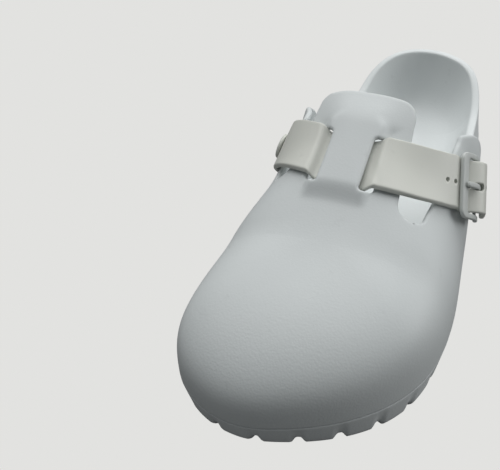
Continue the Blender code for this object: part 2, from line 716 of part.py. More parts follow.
def strap_row(side, angle, level):
    """Five points across the strap; level is -0.5 for its lower face, 0.5 for its upper.

    Under the bridge a row keeps to one section angle, and it turns square to the strap by its end.
    """
    across = STRAP_ACROSS * STRAP_WIDTH
    if side not in END_TURN:
        END_TURN[side] = end_turn(side)
    last = math.radians(STRAP_LAST[side])
    dive = math.radians(DIVE_ANGLE)
    angles = angle + END_TURN[side] * ease((dive - angle) / (dive - last))
    y = strap_y(side, angles, across, 0.0)
    offset = strap_offset(side_point(side, y, angles, 0.0)[..., 0])
    return side_point(side, y, angles, -(offset + level * STRAP_THICK))


def wing_line(across):
    """Line on the wing's surface, a distance across from the strap's middle plane."""
    angles = np.radians(np.linspace(2.0, 70.0, 69))
    return side_point(1, strap_y(1, angles, across, 0.0), angles, 0.0)


def buckle_axes():
    """The outer bar's middle, with the directions down the strap, across it and out from the wing."""
    angle = math.radians(BUCKLE_ANGLE)
    step = math.radians(3.0)
    down = strap_point(1, angle - step, 0.0) - strap_point(1, angle + step, 0.0)
    down /= np.linalg.norm(down)
    across = strap_point(1, angle, 0.4 * STRAP_WIDTH) - strap_point(1, angle, -0.4 * STRAP_WIDTH)
    across = across - down * across.dot(down)
    across /= np.linalg.norm(across)
    out = np.cross(down, across)
    lift = STRAP_LIFT + STRAP_THICK + GAP + FRAME_THICK / 2.0
    return strap_point(1, angle, 0.0) + lift * out, down, across, out


def buckle_bow():
    """Radius of the buckle's bow, that brings the hinge's loop down close to the wing."""
    origin, down, across, out = BUCKLE
    line = np.vstack(WING) - origin
    line = np.column_stack([line @ down + BAR_PLACE, line @ out])
    radii = np.linspace(60.0, 8.0, 105)
    turn = (HINGE_PLACE - BOW_START) / radii
    hinge = np.column_stack([BOW_START + radii * np.sin(turn), radii * (np.cos(turn) - 1.0)])
    clear = np.linalg.norm(hinge[:, None] - line[None], axis=2).min(axis=1)
    close = clear < GAP + TAB_SPARE + HINGE_LOOP
    return float(radii[max(int(np.argmax(close)) - 1, 0)]) if close.any() else float(radii[-1])


BUCKLE = buckle_axes()
WING = [wing_line(across) for across in (-TAB_WIDTH / 2.0, 0.0, TAB_WIDTH / 2.0)]
BOW = buckle_bow()


def to_shoe(points):
    """Buckle coordinates (down the bowed frame, across it, out from it) to the shoe's.

    The frame is straight under its outer bar, bends on a circle from there to the hinge bar and
    runs on straight.
    """
    origin, down, across, out = BUCKLE
    points = np.asarray(points, float)
    place, level = points[..., :1], points[..., 2:3]
    bend = np.clip(place - BOW_START, 0.0, HINGE_PLACE - BOW_START) / BOW
    past = np.clip(place - HINGE_PLACE, 0.0, None)
    along = np.minimum(place, BOW_START) + (BOW + level) * np.sin(bend) + past * np.cos(bend)
    height = level * np.cos(bend) - BOW * (1.0 - np.cos(bend)) - past * np.sin(bend)
    return origin + (along - BAR_PLACE) * down + points[..., 1:2] * across + height * out


def to_buckle(points):
    """The shoe's coordinates to buckle coordinates."""
    origin, down, across, out = BUCKLE
    along = (points - origin) @ down + BAR_PLACE
    height = (points - origin) @ out
    end = (HINGE_PLACE - BOW_START) / BOW
    past = np.clip(along - BOW_START, 0.0, None)
    bend = np.clip(np.arctan2(past, height + BOW), 0.0, end)
    run = past * np.cos(bend) - (height + BOW) * np.sin(bend)
    rise = past * np.sin(bend) + (height + BOW) * np.cos(bend) - BOW
    place = np.where(past > 0.0, BOW_START + BOW * bend + run, along)
    return np.stack([place, (points - origin) @ across, rise], axis=-1)


def tab_ground(along):
    """Underside of the hinge strip in buckle coordinates, clear of the wing over its whole width."""
    levels = []
    for line in WING:
        points = to_buckle(line)
        order = np.argsort(points[:, 0])
        levels.append(np.interp(along, points[order, 0], points[order, 2]))
    return np.max(levels, axis=0) + GAP + TAB_SPARE


def strap_rise(along):
    """Height of the strap's middle in the buckle: under the outer bar, over the hinge, then down."""
    under = -FRAME_THICK / 2.0 - GAP - STRAP_THICK / 2.0
    over = HINGE_LOOP + GAP + STRAP_THICK / 2.0
    start = BAR_PLACE + 0.3 * FRAME_BAR
    up = under + (over - under) * ease((along - start) / (HINGE_PLACE - STRAP_CREST - start))
    end = HINGE_PLACE + TAIL
    rest = tab_ground(end) + TAB_THICK + TAIL_LIFT + STRAP_THICK / 2.0
    return up - (over - rest) * np.clip((along - HINGE_PLACE + 1.0) / (TAIL + 1.0), 0.0, 1.2) ** 1.6


def strap_rows():
    """Lower and upper face of the strap, a row of five points for each step along it."""
    lower = []
    upper = []
    dive = np.array([66.0, 68.5, 71.0, 73.5, 76.0, 78.5, 82.0, 90.0])
    inner = np.radians(np.r_[np.linspace(STRAP_LAST[-1], DIVE_ANGLE, 11), dive[:-1]])
    outer = np.radians(np.r_[dive[::-1], np.linspace(DIVE_ANGLE, STRAP_LAST[1], 6)])
    for side, angles in ((-1, inner), (1, outer)):
        for angle in angles:
            lower.append(strap_row(side, angle, -0.5))
            upper.append(strap_row(side, angle, 0.5))
    last = to_buckle((lower[-1] + upper[-1]) / 2.0)
    start = last[:, 0].mean()
    end = HINGE_PLACE + TAIL
    for place in np.linspace(start, end, 19)[1:]:
        blend = float(ease((place - start) / 5.0))
        turn = math.atan(strap_rise(place + 0.5) - strap_rise(place - 0.5))
        corner = float(ease((place - end + 5.0) / 5.0))
        width = last[:, 1] + (STRAP_ACROSS * STRAP_WIDTH - last[:, 1]) * blend
        width = width * (1.0 - TAIL_TAPER * corner)
        height = last[:, 2] + (strap_rise(place) - last[:, 2]) * blend
        for level, store in ((-0.5, lower), (0.5, upper)):
            along = place + (last[:, 0] - start) * (1.0 - blend) - level * STRAP_THICK * math.sin(turn)
            lift = level * STRAP_THICK * math.cos(turn)
            store.append(to_shoe(np.stack([along, width, height + lift], axis=-1)))
    return np.array(lower), np.array(upper)


def prong_place():
    """Where the strap, rising over the hinge, passes through the pin's level."""
    places = np.linspace(BAR_PLACE, HINGE_PLACE - STRAP_CREST, 60)
    level = FRAME_THICK / 2.0 + GAP + 0.3 * PRONG_THICK
    return float(np.interp(level, strap_rise(places), places))


def strap_place(lower, upper, shift):
    """Middle point, downward and outward direction of the strap, a length along it from the pin's hole."""
    middle = (lower[:, 2] + upper[:, 2]) / 2.0
    run = np.r_[0.0, np.cumsum(np.linalg.norm(np.diff(middle, axis=0), axis=1))]
    past = int(np.argmax(middle[:, 2]))
    places = to_buckle(middle[past:])[:, 0]
    at = np.interp(prong_place(), places, run[past:]) + shift
    k = int(np.searchsorted(run, at)) - 1
    point = middle[k] + (middle[k + 1] - middle[k]) * (at - run[k]) / (run[k + 1] - run[k])
    down = (middle[k + 1] - middle[k]) / np.linalg.norm(middle[k + 1] - middle[k])
    across = upper[k, -1] - upper[k, 0]
    across = across - down * across.dot(down)
    return point, down, across / np.linalg.norm(across)


def make_strap(finish):
    """The strap: riveted on the inner side, under the bridge, through the buckle to its free end."""
    lower, upper = strap_rows()
    rows, cols = lower.shape[:2]
    top = rows * cols
    verts = np.vstack([lower.reshape(-1, 3), upper.reshape(-1, 3)])
    faces = grid_faces(rows, cols, flip=True) + grid_faces(rows, cols, top)
    for j in (0, cols - 1):
        for i in range(rows - 1):
            a, b = i * cols + j, (i + 1) * cols + j
            faces.append((a, b, top + b, top + a))
    for i in (0, rows - 1):
        for j in range(cols - 1):
            a, b = i * cols + j, i * cols + j + 1
            faces.append((a, b, top + b, top + a))
    strap = new_object("strap", verts, faces, finish)
    for k in range(-HOLES_BEFORE, HOLES_AFTER + 1):
        cut(strap, hole_cutter(*strap_place(lower, upper, k * HOLE_PITCH), k == 0))
    return strap


def hole_cutter(point, down, across, for_prong):
    """A round hole through the strap, or the longer one that the pin stands in."""
    out = np.cross(down, across)
    long = PRONG_SLOT / 2.0 if for_prong else 0.0
    wide = PRONG_WIDTH / 2.0 + GAP + 0.2 if for_prong else HOLE_RADIUS
    ring = [(u + long, w) for u, w in arc((0.0, 0.0), wide, -90.0, 90.0, 5)]
    ring += [(u - long, w) for u, w in arc((0.0, 0.0), wide, 90.0, 270.0, 5)]
    if not for_prong:
        ring = arc((0.0, 0.0), wide, 0.0, 315.0, 8)
    count = len(ring)
    depth = 2.0 * STRAP_THICK
    verts = [point + u * down + w * across + s * depth * out for s in (-1, 1) for u, w in ring]
    faces = [tuple(range(count)), tuple(range(2 * count - 1, count - 1, -1))]
    faces += [(i, (i + 1) % count, count + (i + 1) % count, count + i) for i in range(count)]
    cutter = new_object("hole_cutter", verts, faces, merge=0.001)
    cutter.hide_render = True
    cutter.display_type = "WIRE"
    return cutter


def rounded_rectangle(half_along, half_across, radius, steps=5):
    """Corner-rounded rectangle, anticlockwise."""
    outline = []
    for u, w, start in ((1, -1, -90.0), (1, 1, 0.0), (-1, 1, 90.0), (-1, -1, 180.0)):
        centre = (u * (half_along - radius), w * (half_across - radius))
        outline += arc(centre, radius, start, start + 90.0, steps)
    return outline


def with_side_points(outline, parts=5):
    """The rounded rectangle with points put in along its two long sides, which the bow bends."""
    corner = len(outline) // 4
    filled = []
    for i, point in enumerate(outline):
        filled.append(point)
        if i in (2 * corner - 1, 4 * corner - 1):
            follow = outline[(i + 1) % len(outline)]
            for t in np.linspace(0.0, 1.0, parts + 1)[1:-1]:
                filled.append((point[0] + (follow[0] - point[0]) * t, point[1] + (follow[1] - point[1]) * t))
    return filled


def extruded(name, outline, low, high, place, finish=None):
    """Outline extruded between two levels, its points placed by a function of (u, w, level)."""
    count = len(outline)
    verts = [place(u, w, level) for level in (low, high) for u, w in outline]
    faces = [tuple(range(count)), tuple(range(2 * count - 1, count - 1, -1))]
    faces += [(i, (i + 1) % count, count + (i + 1) % count, count + i) for i in range(count)]
    return new_object(name, verts, faces, finish, merge=0.001)


def make_buckle_frame(finish):
    """Buckle frame: a rounded rectangle with a window, a wide outer bar and a thin hinge bar."""
    half_window = STRAP_WIDTH / 2.0 + FRAME_MARGIN
    half_across = half_window + FRAME_SIDE
    half_along = FRAME_LENGTH / 2.0
    outer = rounded_rectangle(half_along, half_across, FRAME_CORNER)
    front = -half_along + FRAME_BAR
    back = HINGE_PLACE - HINGE_BAR / 2.0
    corner = 1.5
    inner = rounded_rectangle((back - front) / 2.0, half_window, corner)
    inner = [(u + (back + front) / 2.0, w) for u, w in inner]
    outer, inner = with_side_points(outer), with_side_points(inner)
    count = len(outer)
    bevel = 0.6
    high = FRAME_THICK / 2.0

    def ring(points, other, inset, level):
        """The outline drawn in towards the bar's middle by an inset, at a level."""
        points = np.array(points)
        step = np.array(other) - points
        step /= np.linalg.norm(step, axis=1)[:, None]
        plan = points + step * inset
        return np.column_stack([plan, np.full(len(points), level)])

    rings = [ring(outer, inner, 0.0, -high), ring(outer, inner, 0.0, high - bevel),
             ring(outer, inner, bevel, high), ring(inner, outer, bevel, high),
             ring(inner, outer, 0.0, high - bevel), ring(inner, outer, 0.0, -high)]
    for points in rings:
        slim = ease((points[:, 0] - back + 2.0) / 2.0) * ease((half_window - np.abs(points[:, 1])) / 2.0 + 1.0)
        points[:, 2] *= 1.0 - slim * (1.0 - HINGE_BAR / FRAME_THICK)
    verts = to_shoe(np.vstack(rings))
    faces = []
    for r in range(len(rings)):
        s = (r + 1) % len(rings)
        for i in range(count):
            k = (i + 1) % count
            faces.append((r * count + i, r * count + k, s * count + k, s * count + i))
    return new_object("buckle_frame", verts, faces, finish)


def make_prong(finish):
    """The pin: an eye round the hinge bar and a rod through the strap on to the outer bar."""
    rim = HINGE_LOOP
    tip = BAR_PLACE - 0.1 * FRAME_BAR
    rest = FRAME_THICK / 2.0 + GAP
    lift = rim - PRONG_THICK
    outline = [(HINGE_PLACE + rim * math.cos(t), rim * math.sin(t))
               for t in np.radians(np.linspace(80.0, -190.0, 12))]
    outline += [(HINGE_PLACE - 4.5, lift), (tip + 4.0, rest), (tip + 0.6, rest), (tip, rest + 0.6)]
    outline += [(tip, rest + PRONG_THICK - 0.7), (tip + 0.8, rest + PRONG_THICK)]
    outline += [(tip + 4.0, rest + PRONG_THICK), (HINGE_PLACE - 4.5, lift + PRONG_THICK)]
    half = PRONG_WIDTH / 2.0
    prong = extruded("buckle_prong", outline, -half, half, lambda u, w, level: to_shoe((u, level, w)), finish)
    hole = arc((HINGE_PLACE, 0.0), HINGE_EYE, 0.0, 330.0, 12)
    cutter = extruded("eye_cutter", hole, -2.0 * half, 2.0 * half, lambda u, w, level: to_shoe((u, level, w)))
    cutter.hide_render = True
    cutter.display_type = "WIRE"
    cut(prong, cutter)
    return prong


def make_hinge_tab(finish):
    """The strip that ties the hinge bar to the wing: a loop round the bar, slit for the pin's eye."""
    end = HINGE_PLACE + TAB_LENGTH
    steps = np.linspace(HINGE_PLACE + HINGE_LOOP, end, 6)[1:]
    ground = tab_ground(steps)
    outline = [(HINGE_PLACE + HINGE_LOOP * math.cos(t), HINGE_LOOP * math.sin(t))
               for t in np.radians(np.linspace(50.0, 300.0, 12))]
    outline += [(u, g) for u, g in zip(steps, ground)]
    outline += [(u, g + TAB_THICK) for u, g in zip(steps[::-1], ground[::-1])]
    half = TAB_WIDTH / 2.0
    tab = extruded("hinge_tab", outline, -half, half, lambda u, w, level: to_shoe((u, level, w)), finish)
    for shape, reach in ((arc((HINGE_PLACE, 0.0), HINGE_EYE, 0.0, 330.0, 12), 2.0 * half),
                         (rounded_rectangle(HINGE_LOOP + 1.4, HINGE_LOOP + 1.0, 0.8, 3), PRONG_WIDTH / 2.0 + 0.5)):
        if reach < half:
            shape = [(u + HINGE_PLACE, w) for u, w in shape]
        cutter = extruded("tab_cutter", shape, -reach, reach, lambda u, w, level: to_shoe((u, level, w)))
        cutter.hide_render = True
        cutter.display_type = "WIRE"
        cut(tab, cutter)
    return tab


def make_stud(finish):
    """The round stud that rivets the strap's inner end, a turned dome with a shallow dished face."""
    angle = math.radians(STUD_ANGLE)
    lower, upper = strap_row(-1, angle, -0.5), strap_row(-1, angle, 0.5)
    before, after = strap_row(-1, angle + 0.1, 0.5)[2], strap_row(-1, angle - 0.1, 0.5)[2]
    down = (after - before) / np.linalg.norm(after - before)
    across = upper[-1] - upper[0]
    across = across - down * across.dot(down)
    across /= np.linalg.norm(across)
    out = np.cross(down, across)
    out = out if out.dot(upper[2] - lower[2]) > 0.0 else -out
    base = upper[2] + out * (GAP + 0.1)
    profile = ((0.0, 0.0), (1.0, 0.0), (1.0, 0.45), (0.95, 0.8), (0.86, 1.0), (0.74, 0.92), (0.0, 0.72))
    turns = np.radians(np.arange(0, 360, 15))
    verts = []
    for r, h in profile:
        for t in turns:
            reach = r * STUD_RADIUS * (down * math.cos(t) + across * math.sin(t))
            verts.append(base + reach + out * h * STUD_THICK)
    faces = []
    count = len(turns)
    for i in range(len(profile) - 1):
        for j in range(count):
            k = (j + 1) % count
            faces.append((i * count + j, i * count + k, (i + 1) * count + k, (i + 1) * count + j))
    return new_object("strap_stud", verts, faces, finish)


def centre_on_footprint(pieces):
    """Hangs every piece from one empty, placed so that the footprint's middle is the origin."""
    corners = np.array([v.co[:] for piece in pieces for v in piece.data.vertices])
    middle = (corners.min(axis=0) + corners.max(axis=0)) / 2.0
    clog = bpy.data.objects.new("clog", None)
    bpy.context.scene.collection.objects.link(clog)
    clog.location = (-middle[0], -middle[1], 0.0)
    for piece in pieces:
        piece.parent = clog


def main():
    for old in list(bpy.data.objects):
        bpy.data.objects.remove(old)
    moulded = material("moulded_foam", (0.53, 0.56, 0.55), 0.55)
    strap_foam = material("strap_foam", (0.55, 0.56, 0.53), 0.5)
    hard = material("buckle_plastic", (0.40, 0.43, 0.42), 0.35)
    pieces = [make_sole(moulded), make_upper(moulded), make_strap(strap_foam), make_buckle_frame(hard),
              make_prong(hard), make_hinge_tab(moulded), make_stud(strap_foam)]
    centre_on_footprint(pieces)


main()
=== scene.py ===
"""Looks of the one-strap clog: the moulded sole, the hollow upper, the strap and its buckle, each
rebuilt finely from the same measures as the solid model, with materials, floor, light and camera.

Lengths below are in millimetres; the toe points along -Y and the outer side is +X.
"""

import math

import bmesh
import bpy
import numpy as np
from mathutils import Matrix, Vector


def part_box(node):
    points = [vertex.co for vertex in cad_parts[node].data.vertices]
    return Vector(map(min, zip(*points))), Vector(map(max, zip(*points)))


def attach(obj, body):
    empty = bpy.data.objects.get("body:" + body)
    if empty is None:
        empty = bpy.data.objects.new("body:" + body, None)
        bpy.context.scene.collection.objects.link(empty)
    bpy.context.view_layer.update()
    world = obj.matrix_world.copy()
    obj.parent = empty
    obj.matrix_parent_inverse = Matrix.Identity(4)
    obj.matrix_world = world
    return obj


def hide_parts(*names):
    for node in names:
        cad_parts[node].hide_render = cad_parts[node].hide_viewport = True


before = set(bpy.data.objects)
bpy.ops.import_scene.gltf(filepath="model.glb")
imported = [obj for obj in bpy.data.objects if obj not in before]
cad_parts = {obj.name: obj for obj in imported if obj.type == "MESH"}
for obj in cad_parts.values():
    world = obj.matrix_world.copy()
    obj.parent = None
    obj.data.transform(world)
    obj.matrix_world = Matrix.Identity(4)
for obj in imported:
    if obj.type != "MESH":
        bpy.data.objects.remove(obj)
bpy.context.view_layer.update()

# Sole
# One moulding of closed-cell foam: tread, side wall, footbed, and behind the wings the cupped heel
# rim. The upper stands on the ledge just inside its top edge.

MM = 0.001
LENGTH = 280.0
BALL_WIDTH = 112.0
HEEL_WIDTH = 79.5
INSTEP = 103.5
SOLE_EDGE = 24.0
RIM_SIDE = 44.0
RIM_BACK = 58.0
TOE_SPRING = 7.0
ARCH_RISE = 2.0
WALL = 3.0
GAP = 0.3
LIP_GAP = 0.8
RIM_THICK = 4.2
RIM_LEAN = 2.5
RIM_CROWN = 0.35          # how far the rim's rounded top falls to its edges
STEP_FADE = 3.0
SIDE_TUCK = 5.0
TOE_TUCK = 5.0
FOOTBED = 25.0
FOOTBED_TOE = 23.5
ARCH_PAD = 6.0
LIP = 9.0
TREAD_EDGE = 3.5
LUG_PITCH = 20.0
LUG_GROOVE = 7.5
GROOVE_FLAT = 0.2         # share of a groove's width that is at its full depth
GROOVE_DEPTH = 3.2
GROOVE_REACH = 17.0
TOE_POLE = 0.27
HEEL_POLE = 0.84
TOE_TIP = -0.08
HEEL_TIP = 0.015
BRIDGE_CENTRE = -2.8
SPINE_RUN = 60.0          # length over which the middle line eases over to it
CROWN = 1.1
WING_CENTRE = 0.518
WING_REACH = 0.165
SOLE_STATIONS = 760
RIM_START = 0.8           # how far behind the wings the rim begins to widen
LIP_DROP = 1.5            # how far the lip's outer edge lies below its top
BED_DROP = 1.2            # the same for its inner edge
BED_START = 0.035         # share of the way in where the footbed's own rows begin

# station, inner half, outer half, as shares of the local width
OUTLINE = (
    (0.015, -0.285, 0.050),
    (0.05, -0.400, 0.220),
    (0.10, -0.470, 0.365),
    (0.17, -0.485, 0.475),
    (0.25, -0.483, 0.522),
    (0.34, -0.470, 0.525),
    (0.44, -0.440, 0.500),
    (0.56, -0.425, 0.507),
    (0.68, -0.438, 0.524),
    (0.80, -0.465, 0.524),
    (0.89, -0.437, 0.478),
    (0.955, -0.323, 0.366),
    (0.99, -0.160, 0.175),
)
# station, share of the instep height
RIDGE = ((0.00, 0.500), (0.13, 0.582), (0.27, 0.658), (0.36, 0.749), (0.46, 0.865), (0.58, 1.000),
         (0.70, 1.050))
# station, power across, power upwards
ROUNDNESS = ((0.15, 2.90, 4.00), (0.30, 2.45, 2.95), (0.43, 2.05, 2.30), (0.55, 2.70, 2.85))
# station, share of the sole edge's height
SEAM = ((0.0, 0.98), (0.3, 0.83), (0.65, 1.0))


def station_y(share):
    """Place along the length of a share of it, toe at minus half."""
    return (share - 0.5) * LENGTH


def share_of(y):
    """The share of the length at a place."""
    return np.asarray(y, float) / LENGTH + 0.5


def ease(x):
    """Smooth step, 3x^2 - 2x^3, held at 0 and 1 outside."""
    x = np.clip(x, 0.0, 1.0)
    return x * x * (3.0 - 2.0 * x)


def eased_table(share, rows, column):
    """A table's column at a station: the first value plus a smooth step for each row after it."""
    share = np.asarray(share, float)
    value = np.full(share.shape, float(rows[0][column]))
    for low, high in zip(rows[:-1], rows[1:]):
        value = value + (high[column] - low[column]) * ease((share - low[0]) / (high[0] - low[0]))
    return value


def cubic_through(knots, values, at):
    """Natural cubic through values at knots: its bends solve the usual three-term system."""
    knots = np.asarray(knots, float)
    values = np.asarray(values, float)
    count = len(knots)
    step = np.diff(knots)
    inner = np.arange(1, count - 1)
    system = np.eye(count)
    system[inner, inner - 1] = step[:-1]
    system[inner, inner] = 2.0 * (step[:-1] + step[1:])
    system[inner, inner + 1] = step[1:]
    slope = np.diff(values, axis=0) / step.reshape((-1,) + (1,) * (values.ndim - 1))
    right = np.zeros_like(values)
    right[1:-1] = 6.0 * np.diff(slope, axis=0)
    bend = np.linalg.solve(system, right.reshape(count, -1)).reshape(values.shape)
    at = np.clip(at, knots[0], knots[-1])
    k = np.clip(np.searchsorted(knots, at) - 1, 0, count - 2)
    shape = np.shape(at) + (1,) * (values.ndim - 1)
    a = ((knots[k + 1] - at) / step[k]).reshape(shape)
    b = ((at - knots[k]) / step[k]).reshape(shape)
    curved = ((a ** 3 - a) * bend[k] + (b ** 3 - b) * bend[k + 1]) * (step[k] ** 2).reshape(shape) / 6.0
    return a * values[k] + b * values[k + 1] + curved


def run_along(points):
    """Distance along a polyline at each of its points."""
    return np.r_[0.0, np.cumsum(np.linalg.norm(np.diff(points, axis=0), axis=1))]


def unit(vectors):
    """Vectors at length one."""
    return vectors / np.maximum(np.linalg.norm(vectors, axis=-1, keepdims=True), 1e-12)


def plan_outline(count):
    """Closed natural cubic, wrapped past its ends, through the outline's points from the toe tip."""
    width = [BALL_WIDTH + (HEEL_WIDTH - BALL_WIDTH) * float(ease((row[0] - 0.4) / 0.4)) for row in OUTLINE]
    outer = [(row[2] * w, station_y(row[0])) for row, w in zip(OUTLINE, width)]
    inner = [(row[1] * w, station_y(row[0])) for row, w in zip(OUTLINE, width)][::-1]
    points = [(TOE_TIP * BALL_WIDTH, station_y(0.0))] + outer
    points = np.array(points + [(HEEL_TIP * HEEL_WIDTH, station_y(1.0))] + inner)
    wrap = 4
    ring = np.vstack([points[-wrap:], points, points[:wrap + 1]])
    run = run_along(ring)
    at = np.linspace(run[wrap], run[wrap + len(points)], count, endpoint=False)
    return cubic_through(run, ring, at)


PLAN = plan_outline(1200)
TURN = int(np.argmax(PLAN[:, 1]))
TOE_Y = station_y(TOE_POLE)
HEEL_Y = station_y(HEEL_POLE)
WING_END = station_y(WING_CENTRE + WING_REACH)
sole_low, sole_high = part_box("sole")
SHIFT = np.array([sole_low[0] / MM - PLAN[:, 0].min(), sole_high[1] / MM - PLAN[:, 1].max(), 0.0])


def edge_x(y, side):
    """The outline's x at a place, outer side +1, inner side -1."""
    half = PLAN[:TURN + 1] if side > 0 else PLAN[TURN:][::-1]
    return np.interp(y, half[:, 1], half[:, 0])


def spine_x(y):
    """Middle line of the sections: eases over to the inner side across the instep."""
    return BRIDGE_CENTRE * ease((np.asarray(y, float) - TOE_Y) / SPINE_RUN)


def ridge_z(y):
    """Instep line: a natural cubic through its table."""
    rows = np.array(RIDGE)
    return INSTEP * cubic_through(rows[:, 0], rows[:, 1], share_of(y))


def seam_z(y):
    """Height of the line where upper and sole meet."""
    return SOLE_EDGE * eased_table(share_of(y), SEAM, 1)


def tread_z(y):
    """Tread height: a power curve up to the toe tip, a sine bump at the waist, a square at the heel."""
    s = share_of(y)
    spring = TOE_SPRING * np.clip((0.24 - s) / 0.24, 0.0, 1.0) ** 1.8
    waist = ARCH_RISE * np.sin(math.pi * np.clip((s - 0.44) / 0.24, 0.0, 1.0)) ** 2
    return spring + waist + 1.5 * np.clip((s - 0.93) / 0.07, 0.0, 1.0) ** 2


def rim_z(y):
    """Height of the lip inside the upper, eased up to the heel rim behind it."""
    s = share_of(y)
    front = seam_z(y) + LIP
    side = front + (RIM_SIDE - front) * ease((s - 0.45) / 0.17)
    return side + (RIM_BACK - RIM_SIDE) * ease((s - 0.82) / 0.18)


def powers(y):
    """Powers of the section's superellipse at a place."""
    s = share_of(y)
    return eased_table(s, ROUNDNESS, 1), eased_table(s, ROUNDNESS, 2)


def add_object(name, data):
    """New object in the scene."""
    made = bpy.data.objects.new(name, data)
    bpy.context.scene.collection.objects.link(made)
    return made


def mesh_piece(name, points, quads, finish, node):
    """Puts points in millimetres and faces into a smooth mesh that stands for a CAD node."""
    mesh = bpy.data.meshes.new(name)
    faces = [face for part in quads for face in part.tolist()]
    mesh.from_pydata(((np.asarray(points, float) + SHIFT) * MM).tolist(), [], faces)
    work = bmesh.new()
    work.from_mesh(mesh)
    bmesh.ops.remove_doubles(work, verts=work.verts, dist=0.02 * MM)
    bmesh.ops.dissolve_degenerate(work, edges=work.edges, dist=0.01 * MM)
    bmesh.ops.recalc_face_normals(work, faces=work.faces)
    work.to_mesh(mesh)
    work.free()
    mesh.shade_smooth()
    mesh.materials.append(finish)
    made = add_object(name, mesh)
    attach(made, "root")
    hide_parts(node)
    return made


def grid_quads(rows, cols, closed=False):
    """Quads between neighbouring rows of a grid stored row by row; a closed one wraps its rows."""
    i = np.arange(rows if closed else rows - 1)[:, None]
    j = np.arange(cols - 1)[None, :]
    k = (i + 1) % rows
    corners = (i * cols + j, k * cols + j, k * cols + j + 1, i * cols + j + 1)
    return np.stack(np.broadcast_arrays(*corners), axis=-1).reshape(-1, 4)


def node_link(tree, made, inputs):
    """Sets a node's sockets by name: a socket is linked, anything else becomes its value."""
    for name, value in inputs.items():
        if isinstance(value, bpy.types.NodeSocket):
            tree.links.new(value, made.inputs[name])
        else:
            made.inputs[name].default_value = value
    return made


def grain_group():
    """Foam surface, in outputs Height, Mottle and Scuff: fine pebbles, deeper at the toe, on soft
    unevenness, with rare rub marks."""
    tree = bpy.data.node_groups.new("foam_surface", "ShaderNodeTree")
    for name, default in (("Pebble Scale", 900.0), ("Pebble Depth", 0.5), ("Wave Depth", 0.5)):
        socket = tree.interface.new_socket(name, in_out="INPUT", socket_type="NodeSocketFloat")
        socket.default_value = default
    for name in ("Height", "Mottle", "Scuff"):
        tree.interface.new_socket(name, in_out="OUTPUT", socket_type="NodeSocketFloat")
    nodes, links = tree.nodes, tree.links
    inputs = nodes.new("NodeGroupInput")
    outputs = nodes.new("NodeGroupOutput")
    place = nodes.new("ShaderNodeTexCoord").outputs["Object"]
    pebble = node_link(tree, nodes.new("ShaderNodeTexVoronoi"),
                       {"Vector": place, "Scale": inputs.outputs["Pebble Scale"]})
    pebble.feature = "SMOOTH_F1"
    fine, wave, cloud, rub = [
        node_link(tree, nodes.new("ShaderNodeTexNoise"), {"Vector": place, "Scale": scale, "Detail": detail})
        for scale, detail in ((1900.0, 3.0), (70.0, 2.0), (22.0, 4.0), (160.0, 6.0))
    ]

    def sum_of(first, share, second):
        """first * share + second."""
        made = nodes.new("ShaderNodeMath")
        made.operation = "MULTIPLY_ADD"
        for socket, value in zip(made.inputs, (first, share, second)):
            if isinstance(value, bpy.types.NodeSocket):
                links.new(value, socket)
            else:
                socket.default_value = value
        return made.outputs[0]

    parts = node_link(tree, nodes.new("ShaderNodeSeparateXYZ"), {"Vector": place})
    toe = node_link(tree, nodes.new("ShaderNodeMapRange"), {
        "Value": parts.outputs["Y"], "From Min": -0.08, "From Max": -0.13, "To Min": 0.35, "To Max": 0.85})
    depth = sum_of(toe.outputs["Result"], inputs.outputs["Pebble Depth"], 0.0)
    height = sum_of(wave.outputs["Fac"], inputs.outputs["Wave Depth"], 0.0)
    height = sum_of(pebble.outputs["Distance"], depth, height)
    height = sum_of(fine.outputs["Fac"], 0.12, height)
    links.new(height, outputs.inputs["Height"])
    links.new(cloud.outputs["Fac"], outputs.inputs["Mottle"])
    ramp = node_link(tree, nodes.new("ShaderNodeMapRange"),
                     {"Value": rub.outputs["Fac"], "From Min": 0.66, "From Max": 0.74})
    links.new(ramp.outputs["Result"], outputs.inputs["Scuff"])
    return tree


GRAIN = grain_group()


def foam_finish(name, base, dark, rough, pebble, depth, wave, strength, specular=0.35):
    """Two close tones and a change of gloss by the mottle, darker rub marks, and the grain as bump."""
    made = bpy.data.materials.new(name)
    made.use_nodes = True
    tree = made.node_tree
    shader = tree.nodes["Principled BSDF"]
    shader.inputs["Specular IOR Level"].default_value = specular
    surface = tree.nodes.new("ShaderNodeGroup")
    surface.node_tree = GRAIN
    node_link(tree, surface, {"Pebble Scale": pebble, "Pebble Depth": depth, "Wave Depth": wave})
    tones = tree.nodes.new("ShaderNodeValToRGB")
    for stop, position, tone in zip(tones.color_ramp.elements, (0.3, 0.7), (dark, base)):
        stop.position = position
        stop.color = (*tone, 1.0)
    tree.links.new(surface.outputs["Mottle"], tones.inputs["Fac"])
    marks = tree.nodes.new("ShaderNodeMix")
    marks.data_type = "RGBA"
    tree.links.new(tones.outputs["Color"], marks.inputs[6])
    marks.inputs[7].default_value = (*(0.86 * np.array(dark)), 1.0)
    fade = tree.nodes.new("ShaderNodeMath")
    fade.operation = "MULTIPLY"
    fade.inputs[1].default_value = 0.3
    tree.links.new(surface.outputs["Scuff"], fade.inputs[0])
    tree.links.new(fade.outputs[0], marks.inputs[0])
    tree.links.new(marks.outputs[2], shader.inputs["Base Color"])
    gloss = node_link(tree, tree.nodes.new("ShaderNodeMapRange"),
                      {"Value": surface.outputs["Mottle"], "To Min": rough + 0.05, "To Max": rough - 0.05})
    tree.links.new(gloss.outputs["Result"], shader.inputs["Roughness"])
    bump = node_link(tree, tree.nodes.new("ShaderNodeBump"),
                     {"Height": surface.outputs["Height"], "Strength": strength, "Distance": 0.0003})
    tree.links.new(bump.outputs["Normal"], shader.inputs["Normal"])
    return made


